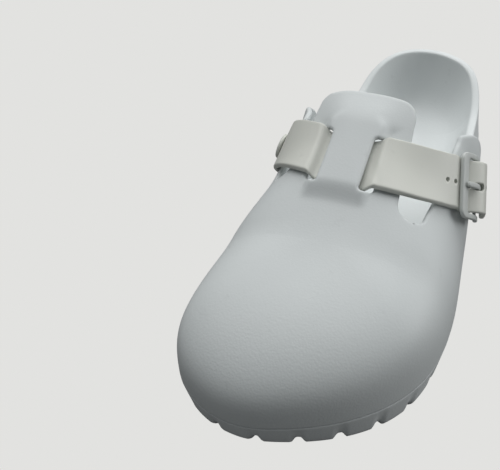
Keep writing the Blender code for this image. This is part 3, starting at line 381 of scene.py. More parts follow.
MOULDED = foam_finish("moulded_foam", (0.600, 0.632, 0.630), (0.575, 0.607, 0.607),
                      0.50, 1000.0, 0.55, 0.35, 0.5)
# The sole's foam: the same pale grey foam, set lighter than the upper's as painted light on the sole's front.
SOLE_FOAM_PAINTED_LIGHT = foam_finish("sole_foam_painted_light", (0.665, 0.698, 0.696), (0.640, 0.672, 0.672),
                        0.55, 1000.0, 0.55, 0.35, 0.5)


def lug_stretch(length):
    """Places and groove depths along a stretch of edge that holds a whole number of lugs."""
    count = max(2, int(round(length / LUG_PITCH)))
    groove = LUG_GROOVE * count / length
    flat = GROOVE_FLAT * groove
    places = np.array([0.0, 0.5 - groove / 2, 0.5 - flat / 2, 0.5 + flat / 2, 0.5 + groove / 2])
    places = (np.arange(count)[:, None] + places) / count
    return places.ravel(), np.tile([0.0, 0.0, 1.0, 1.0, 0.0], count)


def groove_depths(points):
    """Depth share of the edge grooves at outline points, by distance round the outline from the toe."""
    run = run_along(np.vstack([points, points[:1]]))
    total = run[-1]
    run = run[:-1]
    half = np.arange(len(points)) < int(np.argmax(points[:, 1]))
    depth = np.zeros(len(points))
    toe_outer = np.interp(TOE_Y, points[half, 1], run[half])
    heel_outer = np.interp(HEEL_Y, points[half, 1], run[half])
    heel_inner = np.interp(-HEEL_Y, -points[~half, 1], run[~half])
    toe_inner = np.interp(-TOE_Y, -points[~half, 1], run[~half])
    for start, end in ((toe_inner - total, toe_outer), (toe_outer, heel_outer), (heel_outer, heel_inner),
                       (heel_inner, toe_inner)):
        places, depths = lug_stretch(end - start)
        where = (run - start) % total
        inside = where < end - start
        depth[inside] = np.interp(where[inside] / (end - start), np.r_[places, 1.0], np.r_[depths, 0.0])
    return ease(depth)


def rounded_profile(corners, radii, arc_steps, straight_steps):
    """Profile through corner points, each rounded by a quadratic curve between two points at its
    radius before and after it, with straight runs shared out between the roundings.

    corners are (stations, corners, 2), radii one for each inner corner.
    """
    parts = [corners[:, 0]]
    before = corners[:, 0]
    for k in range(1, corners.shape[1] - 1):
        point = corners[:, k]
        to_last = corners[:, k - 1] - point
        to_next = corners[:, k + 1] - point
        near = np.minimum(radii[k - 1], 0.45 * np.linalg.norm(to_last, axis=1))
        far = np.minimum(radii[k - 1], 0.45 * np.linalg.norm(to_next, axis=1))
        start = point + to_last * (near / np.maximum(np.linalg.norm(to_last, axis=1), 1e-9))[:, None]
        end = point + to_next * (far / np.maximum(np.linalg.norm(to_next, axis=1), 1e-9))[:, None]
        for t in np.linspace(0.0, 1.0, straight_steps[k - 1] + 1)[1:-1]:
            parts.append(before + (start - before) * t)
        for t in np.linspace(0.0, 1.0, arc_steps):
            parts.append(start * (1 - t) ** 2 + 2 * point * t * (1 - t) + end * t ** 2)
        before = end
    for t in np.linspace(0.0, 1.0, straight_steps[-1] + 1)[1:]:
        parts.append(before + (corners[:, -1] - before) * t)
    return np.stack(parts, axis=1)


def sole_points():
    """Profile carried round the outline: distance in from the outline along the line to the spine,
    and height, from the tread's middle out, up the wall, over the ledge or rim and in to the footbed.
    The footbed's height goes with the fifth power of what is left of the way in."""
    rim = plan_outline(SOLE_STATIONS)
    groove = groove_depths(rim)
    y = rim[:, 1]
    line = np.clip(y, TOE_Y, HEEL_Y)
    spine = np.column_stack([spine_x(line), line])
    span = np.linalg.norm(spine - rim, axis=1)
    inward = (spine - rim) / span[:, None]
    low, seam, top = tread_z(y), seam_z(y), rim_z(y)
    tuck = SIDE_TUCK + (TOE_TUCK - SIDE_TUCK) * ease((TOE_Y - y) / 50.0)
    cut_up = groove * GROOVE_DEPTH
    rear = ease((y - WING_END - RIM_START) / STEP_FADE)
    n, m = powers(y)

    def wall_inset(height):
        """How far the upper's inner side lies in from the outline at a height."""
        v = np.clip((height - seam) / (ridge_z(y) - CROWN * WALL - seam), 0.0, 1.0)
        return span - (span - WALL) * (1.0 - v ** m) ** (1.0 / n) + LIP_GAP

    ledge = WALL + GAP
    edge = top - LIP_DROP + (LIP_DROP - RIM_CROWN) * rear
    middle = 0.5 * (seam + edge)
    outside = wall_inset(top - LIP_DROP) + (RIM_LEAN - wall_inset(top - LIP_DROP)) * rear
    inside = outside + RIM_THICK
    inner_edge = top - BED_DROP + (BED_DROP - RIM_CROWN) * rear
    corners = [
        (span, tread_z(line)),
        (np.minimum(GROOVE_REACH + tuck, 0.7 * span), low),
        (tuck + TREAD_EDGE, low + cut_up),
        (tuck + 0.6 + 0.5 * cut_up, low + 1.4 + cut_up),
        (0.55 * tuck + 0.3 * cut_up, low + 5.0 + 0.6 * cut_up),
        (0.0 * tuck, seam),
        (ledge + (0.15 * RIM_LEAN - ledge) * rear, seam + 2.0 * rear),
        (wall_inset(middle) + (0.6 * RIM_LEAN - wall_inset(middle)) * rear, middle),
        (outside, edge),
        (outside + 0.5 * RIM_THICK, top),
        (inside, inner_edge),
    ]
    s = share_of(y)
    bed = FOOTBED_TOE + (FOOTBED - FOOTBED_TOE) * ease((s - 0.3) / 0.3)
    arch = ARCH_PAD * ease((s - 0.38) / 0.14) * ease((0.74 - s) / 0.14)
    bed = bed + arch * np.where(rim[:, 0] < spine[:, 0], 1.0, 0.35)
    middle_s = share_of(line)
    heart = FOOTBED_TOE + (FOOTBED - FOOTBED_TOE) * ease((middle_s - 0.3) / 0.3)
    heart = heart + 0.45 * ARCH_PAD * ease((middle_s - 0.38) / 0.14) * ease((0.74 - middle_s) / 0.14)

    def bed_at(f):
        across = bed + (heart - bed) * ease(f)
        return inside + (span - inside) * f, across + (inner_edge - across) * (1.0 - f) ** 5

    corners.append(bed_at(BED_START))
    profile = rounded_profile(np.stack([np.stack(c, axis=-1) for c in corners], axis=1),
                              (4.0, 1.6, 1.4, 3.0, 0.8, 0.5, 6.0, 1.1, 1.4, 1.1),
                              6, (3, 4, 1, 2, 4, 1, 3, 3, 1, 1, 2))
    bed_rows = [np.stack(bed_at(f), axis=-1) for f in np.linspace(BED_START, 1.0, 22)[1:]]
    profile = np.concatenate([profile, np.stack(bed_rows, axis=1)], axis=1)
    plan = rim[:, None] + inward[:, None] * profile[..., :1]
    return np.concatenate([plan, profile[..., 1:]], axis=-1)


sole_grid = sole_points()
mesh_piece("sole_moulding", sole_grid.reshape(-1, 3), [grid_quads(*sole_grid.shape[:2], closed=True)],
           SOLE_FOAM_PAINTED_LIGHT, "sole")

# Upper
# One hollow moulding of foam with a real wall: vamp, tongue tab and wings, with rounded cut edges.
# A raised bridge on the instep holds the strap, which dives through a slot at each side of it.

TONGUE_CENTRE = -1.0
TONGUE_HALF = 23.5
INNER_HALF = 25.5
TONGUE_ROOT = 27.0
INNER_ROOT = 30.5
TAB_CORNER = 8.0
INNER_CORNER = 5.0
TONGUE_END = 0.543
NOTCH_END = 0.355
INNER_NOTCH_END = 0.405
BRIDGE_HALF = 10.4
BRIDGE_RISE = 3.4
BRIDGE_RAMP = 9.0
BRIDGE_TAIL = 22.0
BRIDGE_SPREAD = 6.0
SLOT_WIDTH = 6.2
SLOT_CORNER = 1.5
STRAP_STATION = 0.413
STRAP_HEIGHT = 0.822
STRAP_TILT = 45.0
STRAP_WIDTH = 24.8
STRAP_EASE = 0.8
STRAP_BACKSET = 4.0
BACKSET_FADE = 40.0       # length over which that builds up from the bridge's middle
BRIDGE_SPAN = (-36.25, -6.93)   # where the strap's slots begin and end
WING_TOP = 0.57
WING_FLARE = 4.0
FLARE_START = 12.0
FLARE_RUN = 15.0
FLARE_HEIGHT = 0.45
WING_EDGE = ((0.38, 0.670, 0.790), (0.50, 0.775, 0.745), (0.56, 0.825, 0.745))
SHELL_STEP = 1.25         # distance between section rows
SHELL_COLUMNS = 112
CUT_ROUND = 1.5           # how far the rounded edge stands out past the clipped skin
SEAM_ROUND = 0.9
EDGE_STEPS = 8
SHELL_PAST = 4.0          # how far the skin runs on behind the wings before it is clipped
THROAT_PAST = 20.0        # how far the throat's outline reaches past the wings
WING_START = 8.0          # how far behind a notch's end the wing's edge line begins
TYPICAL_HALF = 57.0       # half width and height of a section that sets the columns' spacing
TYPICAL_HEIGHT = 62.0


def bridge_rise(x, y):
    """Bridge height: smooth steps along the foot at both ends times one across at both sides."""
    low, high = BRIDGE_SPAN
    along = ease((y - low + BRIDGE_RAMP) / BRIDGE_RAMP) * ease((high + BRIDGE_TAIL - y) / BRIDGE_TAIL)
    spread = BRIDGE_SPREAD * ease((y - high) / SLOT_WIDTH)
    edge = BRIDGE_HALF + SLOT_WIDTH + spread
    across = ease((edge - np.abs(x - BRIDGE_CENTRE)) / (SLOT_WIDTH - SLOT_CORNER + 2.0 * spread))
    return BRIDGE_RISE * along * across


def shell_point(rim, spine, angle, inset, raised=True):
    """Quarter superellipse from the outline to the middle line: across goes with cos(angle) to the
    power 2/n, up with sin(angle) to the power 2/m; an inset draws it in, and the bridge is added."""
    reach = spine - rim
    span = np.linalg.norm(reach, axis=-1)
    n, m = powers(rim[..., 1])
    q = np.clip(np.cos(angle), 0.0, 1.0) ** (2.0 / n)
    v = np.clip(np.sin(angle), 0.0, 1.0) ** (2.0 / m)
    flare = WING_FLARE * ease((rim[..., 1] - FLARE_START) / FLARE_RUN) * ease(v / FLARE_HEIGHT)
    plan = spine - reach * (q * (span + flare - inset) / span)[..., None]
    low = seam_z(rim[..., 1])
    z = low + (ridge_z(plan[..., 1]) - CROWN * inset - low) * v
    if raised:
        z = z + bridge_rise(plan[..., 0], plan[..., 1])
    return np.concatenate([plan, z[..., None]], axis=-1)


def arc_points(centre, radius, start, end, steps):
    """Points of an arc in the plane, angles in degrees."""
    turn = np.radians(np.linspace(start, end, steps))
    return np.column_stack([centre[0] + radius * np.cos(turn), centre[1] + radius * np.sin(turn)])


def wing_edge_x(y, side):
    """Upper edge of a wing in plan: its share of the half width is a cubic through the table."""
    rows = np.array(WING_EDGE)
    share = cubic_through(rows[:, 0], rows[:, 1 if side > 0 else 2], share_of(y))
    return spine_x(y) + share * (edge_x(y, side) - spine_x(y))


def throat_outline():
    """Plan of the throat: wing edges, a half circle for each notch and the tab's two round corners."""
    end = station_y(TONGUE_END)
    halves = []
    for side in (1, -1):
        notch_end = station_y(NOTCH_END if side > 0 else INNER_NOTCH_END)
        y = np.linspace(WING_END + THROAT_PAST, notch_end + WING_START, 40)
        wing = np.column_stack([wing_edge_x(y, side), y])
        root = TONGUE_CENTRE + (TONGUE_ROOT if side > 0 else -INNER_ROOT)
        radius = abs(wing[-1, 0] - root) / 2.0
        start, stop = (0.0, -180.0) if side > 0 else (180.0, 360.0)
        notch = arc_points(((root + wing[-1, 0]) / 2.0, notch_end + radius), radius, start, stop, 24)
        round_off = TAB_CORNER if side > 0 else INNER_CORNER
        tab = TONGUE_CENTRE + side * ((TONGUE_HALF if side > 0 else INNER_HALF) - round_off)
        corner = arc_points((tab, end - round_off), round_off, 0.0 if side > 0 else 180.0, 90.0, 16)
        halves.append(np.vstack([wing, notch, corner]))
    return np.vstack([halves[0], halves[1][::-1]])


def outside_distance(points, outline):
    """Signed distance to a closed outline, positive outside: nearest of its edges, with the sign
    from the number of edges that a ray along +x crosses."""
    a, b = outline, np.roll(outline, -1, axis=0)
    edge = b - a
    best = np.full(len(points), np.inf)
    crossings = np.zeros(len(points), int)
    for start, step in zip(a, edge):
        rel = points - start
        t = np.clip(rel @ step / max(step @ step, 1e-12), 0.0, 1.0)
        best = np.minimum(best, np.linalg.norm(rel - t[:, None] * step, axis=1))
        above = (start[1] > points[:, 1]) != (start[1] + step[1] > points[:, 1])
        if step[1] != 0.0:
            cross_x = start[0] + (points[:, 1] - start[1]) * step[0] / step[1]
            crossings += above & (points[:, 0] < cross_x)
    return np.where(crossings % 2 == 1, -best, best)


def kept_distance(points):
    """How far a skin point lies inside the upper: least distance to throat, slots and wing edge. A slot
    is a rounded box, across the strap's tilted plane and across the foot."""
    plan = points[:, :2]
    keep = outside_distance(plan, throat_outline()) - CUT_ROUND
    tilt = math.radians(STRAP_TILT)
    across = (points[:, 1] - station_y(STRAP_STATION)) * math.cos(tilt)
    across = across + (points[:, 2] - STRAP_HEIGHT * INSTEP) * math.sin(tilt)
    across = across - STRAP_BACKSET * math.cos(tilt) * ease(-(points[:, 0] - BRIDGE_CENTRE) / BACKSET_FADE)
    half = np.array([[0.5 * SLOT_WIDTH], [0.5 * STRAP_WIDTH + STRAP_EASE]])
    for side in (1, -1):
        beside = side * (points[:, 0] - BRIDGE_CENTRE) - BRIDGE_HALF - 0.5 * SLOT_WIDTH
        inner = np.abs(np.stack([beside, across])) - half + CUT_ROUND
        apart = np.linalg.norm(np.maximum(inner, 0.0), axis=0) + np.minimum(inner.max(axis=0), 0.0)
        keep = np.minimum(keep, apart - CUT_ROUND - CUT_ROUND)
    centre = station_y(WING_CENTRE)
    reach, rise = WING_REACH * LENGTH, WING_TOP * INSTEP
    base = float(seam_z(station_y(0.65)))
    back = (points[:, 1] - centre) / reach
    up = (points[:, 2] - base) / rise
    radius = np.sqrt(np.clip(back, 0.0, None) ** 2 + np.clip(up, 0.0, None) ** 2)
    curve = (1.0 - radius) * 0.5 * (reach + rise) - CUT_ROUND
    wing = np.where(np.abs(points[:, 0]) > TONGUE_ROOT + 1.4, curve, np.inf)
    wing = np.where(points[:, 1] > centre - 12.0, wing, np.inf)
    return np.minimum(keep, wing)


def clip_skin(points, faces, keep, carried):
    """Triangles cut along the line where keep passes zero, each crossing placed by the two values."""
    inside = keep > 0.0
    count = inside[faces].sum(axis=1)
    whole = faces[count == 3]
    turned = []
    for wanted in (1, 2):
        part = faces[count == wanted]
        odd = inside[part] if wanted == 1 else ~inside[part]
        first = np.argmax(odd, axis=1)
        order = (first[:, None] + np.arange(3)[None, :]) % 3
        turned.append(np.take_along_axis(part, order, axis=1))
    pairs = np.vstack([t[:, list(p)] for t in turned for p in ((0, 1), (0, 2))])
    keys, back = np.unique(np.sort(pairs, axis=1), axis=0, return_inverse=True)
    back = back.reshape(-1) + len(points)
    share = keep[keys[:, 0]] / (keep[keys[:, 0]] - keep[keys[:, 1]])
    share = np.clip(share, 0.0, 1.0)[:, None]
    mixed = [np.vstack([v, v[keys[:, 0]] * (1.0 - share) + v[keys[:, 1]] * share])
             for v in [points] + carried]
    one, two = turned
    ends = np.split(back, np.cumsum([len(one), len(one), len(two)]))
    faces = np.vstack([
        whole,
        np.column_stack([one[:, 0], ends[0], ends[1]]),
        np.column_stack([ends[2], two[:, 1], two[:, 2]]),
        np.column_stack([ends[2], two[:, 2], ends[3]]),
    ])
    used, faces = np.unique(faces, return_inverse=True)
    return [v[used] for v in mixed], faces.reshape(-1, 3)


def make_upper():
    """Skin rows from the outline to the middle line, clipped, given an inner skin a wall in along the
    normals, and closed by a half-round strip: centre minus half the wall, turned from skin to skin."""
    rear = WING_END + SHELL_PAST
    side_y = np.linspace(TOE_Y, rear, int((rear - TOE_Y) / SHELL_STEP))[::-1]
    fan = np.roll(PLAN, len(PLAN) // 3, axis=0)
    fan = fan[fan[:, 1] < TOE_Y][::-1]
    fan = np.vstack([[edge_x(TOE_Y, 1), TOE_Y], fan, [edge_x(TOE_Y, -1), TOE_Y]])
    run = run_along(fan)
    at = np.linspace(0.0, run[-1], int(run[-1] / SHELL_STEP))[1:-1]
    fan = np.column_stack([np.interp(at, run, fan[:, 0]), np.interp(at, run, fan[:, 1])])
    rim = np.vstack([np.column_stack([edge_x(side_y, 1), side_y]), fan,
                     np.column_stack([edge_x(side_y, -1), side_y])[::-1]])
    line = np.clip(rim[:, 1], TOE_Y, None)
    spine = np.column_stack([spine_x(line), line])
    sample = np.linspace(0.0, math.pi / 2, 4000)
    typical = np.column_stack([TYPICAL_HALF * np.cos(sample) ** (2.0 / 2.25),
                               TYPICAL_HEIGHT * np.sin(sample) ** (2.0 / 2.5)])
    run = run_along(typical)
    angle = np.interp(np.linspace(0.0, run[-1], SHELL_COLUMNS), run, sample)
    rows, cols = len(rim), len(angle)
    skin = shell_point(np.repeat(rim[:, None], cols, axis=1), np.repeat(spine[:, None], cols, axis=1),
                       np.broadcast_to(angle, (rows, cols)), 0.0)
    height = skin[..., 2] - seam_z(rim[:, 1])[:, None]
    index = np.arange(rows * cols).reshape(rows, cols)
    sides = len(side_y)
    index[sides:rows - sides, -1] = index[sides - 1, -1]
    index[rows - sides:, -1] = index[:sides, -1][::-1]
    a, b, c, d = index[:-1, :-1], index[1:, :-1], index[1:, 1:], index[:-1, 1:]
    faces = np.concatenate([np.stack(three, axis=-1).reshape(-1, 3) for three in ((a, b, c), (a, c, d))])
    faces = faces[(faces != np.roll(faces, 1, axis=1)).all(axis=1)]
    points = skin.reshape(-1, 3)
    square = np.cross(points[faces[:, 1]] - points[faces[:, 0]], points[faces[:, 2]] - points[faces[:, 0]])
    normals = np.zeros_like(points)
    for k in range(3):
        np.add.at(normals, faces[:, k], square)
    normals = unit(normals)
    crown = points[:, 2].argmax()
    normals = normals if normals[crown, 2] > 0.0 else -normals
    outward = square[:, 2].sum() > 0.0
    faces = faces if outward else faces[:, ::-1]
    seam_keep = height.ravel() - GAP - SEAM_ROUND
    cut_keep = kept_distance(points)
    keep = np.minimum(cut_keep, seam_keep)
    at_seam = (seam_keep < cut_keep)[:, None].astype(float)
    (points, normals, marks), faces = clip_skin(points, faces, keep, [normals, at_seam])
    normals = unit(normals)
    edges = np.vstack([faces[:, [0, 1]], faces[:, [1, 2]], faces[:, [2, 0]]])
    keys, back, counts = np.unique(np.sort(edges, axis=1), axis=0, return_inverse=True, return_counts=True)
    edges = edges[counts[back.reshape(-1)] == 1]
    out = np.zeros_like(points)
    step = points[edges[:, 1]] - points[edges[:, 0]]
    for k in range(2):
        np.add.at(out, edges[:, k], np.cross(step, normals[edges[:, k]]))
    for _ in range(6):
        spread = out.copy()
        np.add.at(spread, edges[:, 0], out[edges[:, 1]])
        np.add.at(spread, edges[:, 1], out[edges[:, 0]])
        out = spread / 3.0
    border = np.unique(edges)
    slot_of = np.full(len(points), -1)
    slot_of[border] = np.arange(len(border))
    n = normals[border]
    o = unit(out[border] - n * np.sum(out[border] * n, axis=1)[:, None])
    seam_mark = (marks[border, 0] > 0.5)[:, None]
    reach = np.where(seam_mark, SEAM_ROUND, CUT_ROUND)
    power = np.where(seam_mark, 0.5, 0.85)
    turn = np.linspace(0.0, math.pi, EDGE_STEPS + 1)[1:-1][:, None, None]
    across = np.sign(np.cos(turn)) * np.abs(np.cos(turn)) ** power
    strip = points[border] - 0.5 * WALL * n + 0.5 * WALL * across * n + reach * np.sin(turn) ** power * o
    total = len(points)
    verts = np.vstack([points, points - WALL * normals, strip.reshape(-1, 3)])
    levels = EDGE_STEPS + 1
    ids = np.zeros((levels, len(border)), int)
    ids[0] = border
    ids[-1] = border + total
    ids[1:-1] = 2 * total + np.arange((levels - 2) * len(border)).reshape(levels - 2, -1)
    first, second = slot_of[edges[:, 0]], slot_of[edges[:, 1]]
    strip_faces = np.stack([ids[:-1, second], ids[:-1, first], ids[1:, first], ids[1:, second]], axis=-1)
    return mesh_piece("upper_moulding", verts, [faces, faces[:, ::-1] + total, strip_faces.reshape(-1, 4)],
                      MOULDED, "upper")


make_upper()

# Strap
# One soft strip, smoother and a little warmer than the foam, riveted on the inner side, led under
# the bridge and through the buckle. Its upper edges are rounded and it has a row of punched holes.

STRAP_THICK = 2.4
STRAP_LIFT = 0.9
OUTER_BACKSET = 3.0
BACKSET_START = 30.0
BACKSET_RUN = 25.0
DIVE_MARGIN = 0.6         # room between a slot's sides and the stretch where the strap dives
BUCKLE_ANGLE = 34.0
STRAP_END_ANGLE = 15.0
DIVE_ANGLE = 62.0
FRAME_LENGTH = 22.0
FRAME_BAR = 4.8
FRAME_THICK = 2.2
HINGE_BAR = 1.6
LOOP_WALL = 0.8
PRONG_WIDTH = 2.6
PRONG_THICK = 2.0
PIN_HOLE = 2.4            # how much longer the pin's hole is than round
HOLE_RADIUS = 1.1
HOLE_PITCH = 5.0
HOLES_BEFORE = 4
HOLES_AFTER = 2
TAIL = 10.5
STRAP_CREST = 6.3
STRAP_BLEND = 5.0         # length over which the strap changes from the vamp's shape to the buckle's
TAIL_CURVE = 1.6
TAIL_LIFT = 0.4
TAIL_TAPER = 0.12
TAB_THICK = 2.2
TAB_WIDTH = 13.0
TAB_SPARE = 0.3
STRAP_ACROSS = np.linspace(-0.5, 0.5, 9)
STRAP_ROWS = 260
STRAP_EDGE = 0.8          # radius of the strap's edges
DIVE_ROWS = np.array([66.0, 68.5, 71.0, 73.5, 76.0, 78.5, 82.0, 90.0])
RISE_START = 0.3          # share of the outer bar past its middle where the strap starts to rise
STRAP_DRAW = 0.6          # share of a quarter circle by which its ends are drawn in
SECTION_INSET = 0.6       # how far inside its rounded edges the section's flat points begin
HOLE_SPARE = 0.2          # room beside the pin in its hole, over the usual gap
STRAP_LAST = {1: BUCKLE_ANGLE + 3.0, -1: STRAP_END_ANGLE}
HINGE_PLACE = FRAME_LENGTH / 2.0 - HINGE_BAR / 2.0
BAR_PLACE = (FRAME_BAR - FRAME_LENGTH) / 2.0
BOW_START = BAR_PLACE + FRAME_BAR
BOW_RADII = (60.0, 8.0, 105)      # first and last radius tried for the frame's bow, and how many
HINGE_EYE = HINGE_BAR / math.sqrt(2.0) + GAP
HINGE_LOOP = HINGE_EYE + LOOP_WALL


def side_point(side, y, angle, inset):
    """The upper's section point at a place along the length, on one side."""
    y, angle = np.broadcast_arrays(np.asarray(y, float), np.asarray(angle, float))
    rim = np.stack([edge_x(y, side), y], axis=-1)
    return shell_point(rim, np.stack([spine_x(y), y], axis=-1), angle, inset, False)


def strap_y(side, angle, across):
    """Place along the length where a section angle meets the strap's tilted plane, by halving steps."""
    tilt = math.radians(STRAP_TILT)
    middle_y, middle_z = station_y(STRAP_STATION), STRAP_HEIGHT * INSTEP
    angle, across = np.broadcast_arrays(np.asarray(angle, float), np.asarray(across, float))
    y = np.full(angle.shape, middle_y)
    for _ in range(40):
        point = side_point(side, y, angle, 0.0)
        shift = STRAP_BACKSET * ease(-(point[..., 0] - BRIDGE_CENTRE) / BACKSET_FADE)
        outer = np.clip((point[..., 0] - BACKSET_START) / BACKSET_RUN, 0.0, None)
        shift = shift + OUTER_BACKSET * outer ** 1.5
        want = middle_y + (across + shift - (point[..., 2] - middle_z) * math.sin(tilt)) / math.cos(tilt)
        y = 0.5 * y + 0.5 * want
    return y


def strap_point(side, angle, across):
    """Point of the plain vamp a distance across from the strap's middle plane."""
    return side_point(side, strap_y(side, angle, across), angle, 0.0)


def end_turn(side):
    """Change of section angle across the strap that makes its last row square, by secant steps."""
    across = STRAP_ACROSS * STRAP_WIDTH
    last = math.radians(STRAP_LAST[side])
    step = math.radians(0.5)
    centre = strap_point(side, last, 0.0)
    along = strap_point(side, last - step, 0.0) - strap_point(side, last + step, 0.0)
    turns = np.zeros(len(across))
    for _ in range(12):
        miss = (strap_point(side, last + turns, across) - centre) @ along
        change = (strap_point(side, last + turns + step, across) - centre) @ along - miss
        turns = turns - 0.7 * step * miss / change
    return turns


END_TURN = {side: end_turn(side) for side in (1, -1)}


def strap_side(side, degrees, level):
    """Rows across the strap at section angles: off the vamp by the strap's height, low at the bridge."""
    angle = np.radians(np.asarray(degrees, float))[:, None]
    dive = math.radians(DIVE_ANGLE)
    fade = ease((dive - angle) / (dive - math.radians(STRAP_LAST[side])))
    angles = angle + END_TURN[side] * fade
    y = strap_y(side, angles, STRAP_ACROSS * STRAP_WIDTH)
    x = side_point(side, y, angles, 0.0)[..., 0]
    out = STRAP_LIFT + STRAP_THICK / 2.0
    under = BRIDGE_RISE / CROWN - WALL - 2.0 * GAP - STRAP_THICK / 2.0
    beside = np.abs(x - BRIDGE_CENTRE) - BRIDGE_HALF - DIVE_MARGIN
    offset = under + (out - under) * ease(beside / (SLOT_WIDTH - 2.0 * DIVE_MARGIN))
    return side_point(side, y, angles, -(offset + level * STRAP_THICK))


def buckle_axes():
    """The outer bar's middle, and the directions down the strap, across it and out of the wing."""
    angle = math.radians(BUCKLE_ANGLE)
    step = math.radians(3.0)
    down = unit(strap_point(1, angle - step, 0.0) - strap_point(1, angle + step, 0.0))
    across = strap_point(1, angle, 0.4 * STRAP_WIDTH) - strap_point(1, angle, -0.4 * STRAP_WIDTH)
    across = unit(across - down * across.dot(down))
    out = np.cross(down, across)
    lift = STRAP_LIFT + STRAP_THICK + GAP + FRAME_THICK / 2.0
    return strap_point(1, angle, 0.0) + lift * out, down, across, out


def wing_line(across):
    """Line on the wing's surface, a distance across from the strap's middle plane."""
    angles = np.radians(np.linspace(2.0, 70.0, 69))
    return side_point(1, strap_y(1, angles, across), angles, 0.0)


BUCKLE = buckle_axes()
WING = [wing_line(across) for across in (-TAB_WIDTH / 2.0, 0.0, TAB_WIDTH / 2.0)]


def buckle_bow():
    """Radius of the frame's bow: the largest that brings the hinge's loop down to the wing."""
    origin, down, across, out = BUCKLE
    line = np.vstack(WING) - origin
    line = np.column_stack([line @ down + BAR_PLACE, line @ out])
    radii = np.linspace(*BOW_RADII)
    turn = (HINGE_PLACE - BOW_START) / radii
    hinge = np.column_stack([BOW_START + radii * np.sin(turn), radii * (np.cos(turn) - 1.0)])
    clear = np.linalg.norm(hinge[:, None] - line[None], axis=2).min(axis=1)
    close = clear < GAP + TAB_SPARE + HINGE_LOOP
    return float(radii[max(int(np.argmax(close)) - 1, 0)]) if close.any() else float(radii[-1])


BOW = buckle_bow()


def to_shoe(points):
    """Buckle coordinates (down the frame, across, out) to the shoe's: straight under the outer bar,
    on a circle from there to the hinge bar, and straight after it."""
    origin, down, across, out = BUCKLE
    points = np.asarray(points, float)
    place, level = points[..., :1], points[..., 2:3]
    bend = np.clip(place - BOW_START, 0.0, HINGE_PLACE - BOW_START) / BOW
    past = np.clip(place - HINGE_PLACE, 0.0, None)
    along = np.minimum(place, BOW_START) + (BOW + level) * np.sin(bend) + past * np.cos(bend)
    height = level * np.cos(bend) - BOW * (1.0 - np.cos(bend)) - past * np.sin(bend)
    return origin + (along - BAR_PLACE) * down + points[..., 1:2] * across + height * out


def to_buckle(points):
    """The shoe's coordinates to buckle coordinates, the same steps undone."""
    origin, down, across, out = BUCKLE
    along = (points - origin) @ down + BAR_PLACE
    height = (points - origin) @ out
    end = (HINGE_PLACE - BOW_START) / BOW
    past = np.clip(along - BOW_START, 0.0, None)
    bend = np.clip(np.arctan2(past, height + BOW), 0.0, end)
    run = past * np.cos(bend) - (height + BOW) * np.sin(bend)
    rise = past * np.sin(bend) + (height + BOW) * np.cos(bend) - BOW
    place = np.where(past > 0.0, BOW_START + BOW * bend + run, along)
    return np.stack([place, (points - origin) @ across, rise], axis=-1)


def tab_ground(along):
    """Underside of the hinge strip in buckle coordinates: just clear of the wing at its highest line."""
    levels = []
    for line in WING:
        points = to_buckle(line)
        order = np.argsort(points[:, 0])
        levels.append(np.interp(along, points[order, 0], points[order, 2]))
    return np.max(levels, axis=0) + GAP + TAB_SPARE


def strap_rise(along):
    """Height of the strap's middle in the buckle: under the outer bar, over the hinge, then down."""
    under = -FRAME_THICK / 2.0 - GAP - STRAP_THICK / 2.0
    over = HINGE_LOOP + GAP + STRAP_THICK / 2.0
    start = BAR_PLACE + RISE_START * FRAME_BAR
    up = under + (over - under) * ease((along - start) / (HINGE_PLACE - STRAP_CREST - start))
    rest = tab_ground(HINGE_PLACE + TAIL) + TAB_THICK + TAIL_LIFT + STRAP_THICK / 2.0
    return up - (over - rest) * np.clip((along - HINGE_PLACE + 1.0) / (TAIL + 1.0), 0.0, 1.2) ** TAIL_CURVE


def strap_faces():
    """Lower and upper face as rows across the strap: the two sides' rows, then the buckle's."""
    inner = np.r_[np.linspace(STRAP_LAST[-1], DIVE_ANGLE, 11), DIVE_ROWS[:-1]]
    outer = np.r_[DIVE_ROWS[::-1], np.linspace(DIVE_ANGLE, STRAP_LAST[1], 6)]
    faces = [np.vstack([strap_side(-1, inner, level), strap_side(1, outer, level)]) for level in (-0.5, 0.5)]
    last = to_buckle((faces[0][-1] + faces[1][-1]) / 2.0)
    start = last[:, 0].mean()
    end = HINGE_PLACE + TAIL
    place = np.linspace(start, end, 19)[1:, None]
    blend = ease((place - start) / STRAP_BLEND)
    turn = np.arctan(strap_rise(place + 0.5) - strap_rise(place - 0.5))
    width = last[:, 1] + (STRAP_ACROSS * STRAP_WIDTH - last[:, 1]) * blend
    width = width * (1.0 - TAIL_TAPER * ease((place - end + STRAP_BLEND) / STRAP_BLEND))
    height = last[:, 2] + (strap_rise(place) - last[:, 2]) * blend
    rows = []
    for level, face in zip((-0.5, 0.5), faces):
        along = place + (last[:, 0] - start) * (1.0 - blend) - level * STRAP_THICK * np.sin(turn)
        lift = height + level * STRAP_THICK * np.cos(turn)
        rows.append(np.vstack([face, to_shoe(np.stack(np.broadcast_arrays(along, width, lift), axis=-1))]))
    return rows


def along_rows(lower, upper):
    """Distance along the strap's middle line at each row, and that line."""
    middle = (lower[:, len(STRAP_ACROSS) // 2] + upper[:, len(STRAP_ACROSS) // 2]) / 2.0
    return run_along(middle), middle


def strap_section():
    """Rounded section, as shares across and through the strap: quarter circles at its four corners."""
    half = STRAP_WIDTH / 2.0
    turn = np.radians(np.linspace(0.0, 90.0, 6))
    cx, cz = half - STRAP_EDGE, STRAP_THICK / 2.0 - STRAP_EDGE
    upper_right = np.column_stack([cx + STRAP_EDGE * np.cos(turn), cz + STRAP_EDGE * np.sin(turn)])
    span = np.linspace(cx - SECTION_INSET, -cx + SECTION_INSET, 14)
    flat = np.column_stack([span, np.full(len(span), STRAP_THICK / 2.0)])
    upper = np.vstack([upper_right, flat, upper_right[::-1] * (-1.0, 1.0)])
    ring = np.vstack([upper, upper[::-1] * (1.0, -1.0)])
    return ring[:, 0] / STRAP_WIDTH, ring[:, 1] / STRAP_THICK


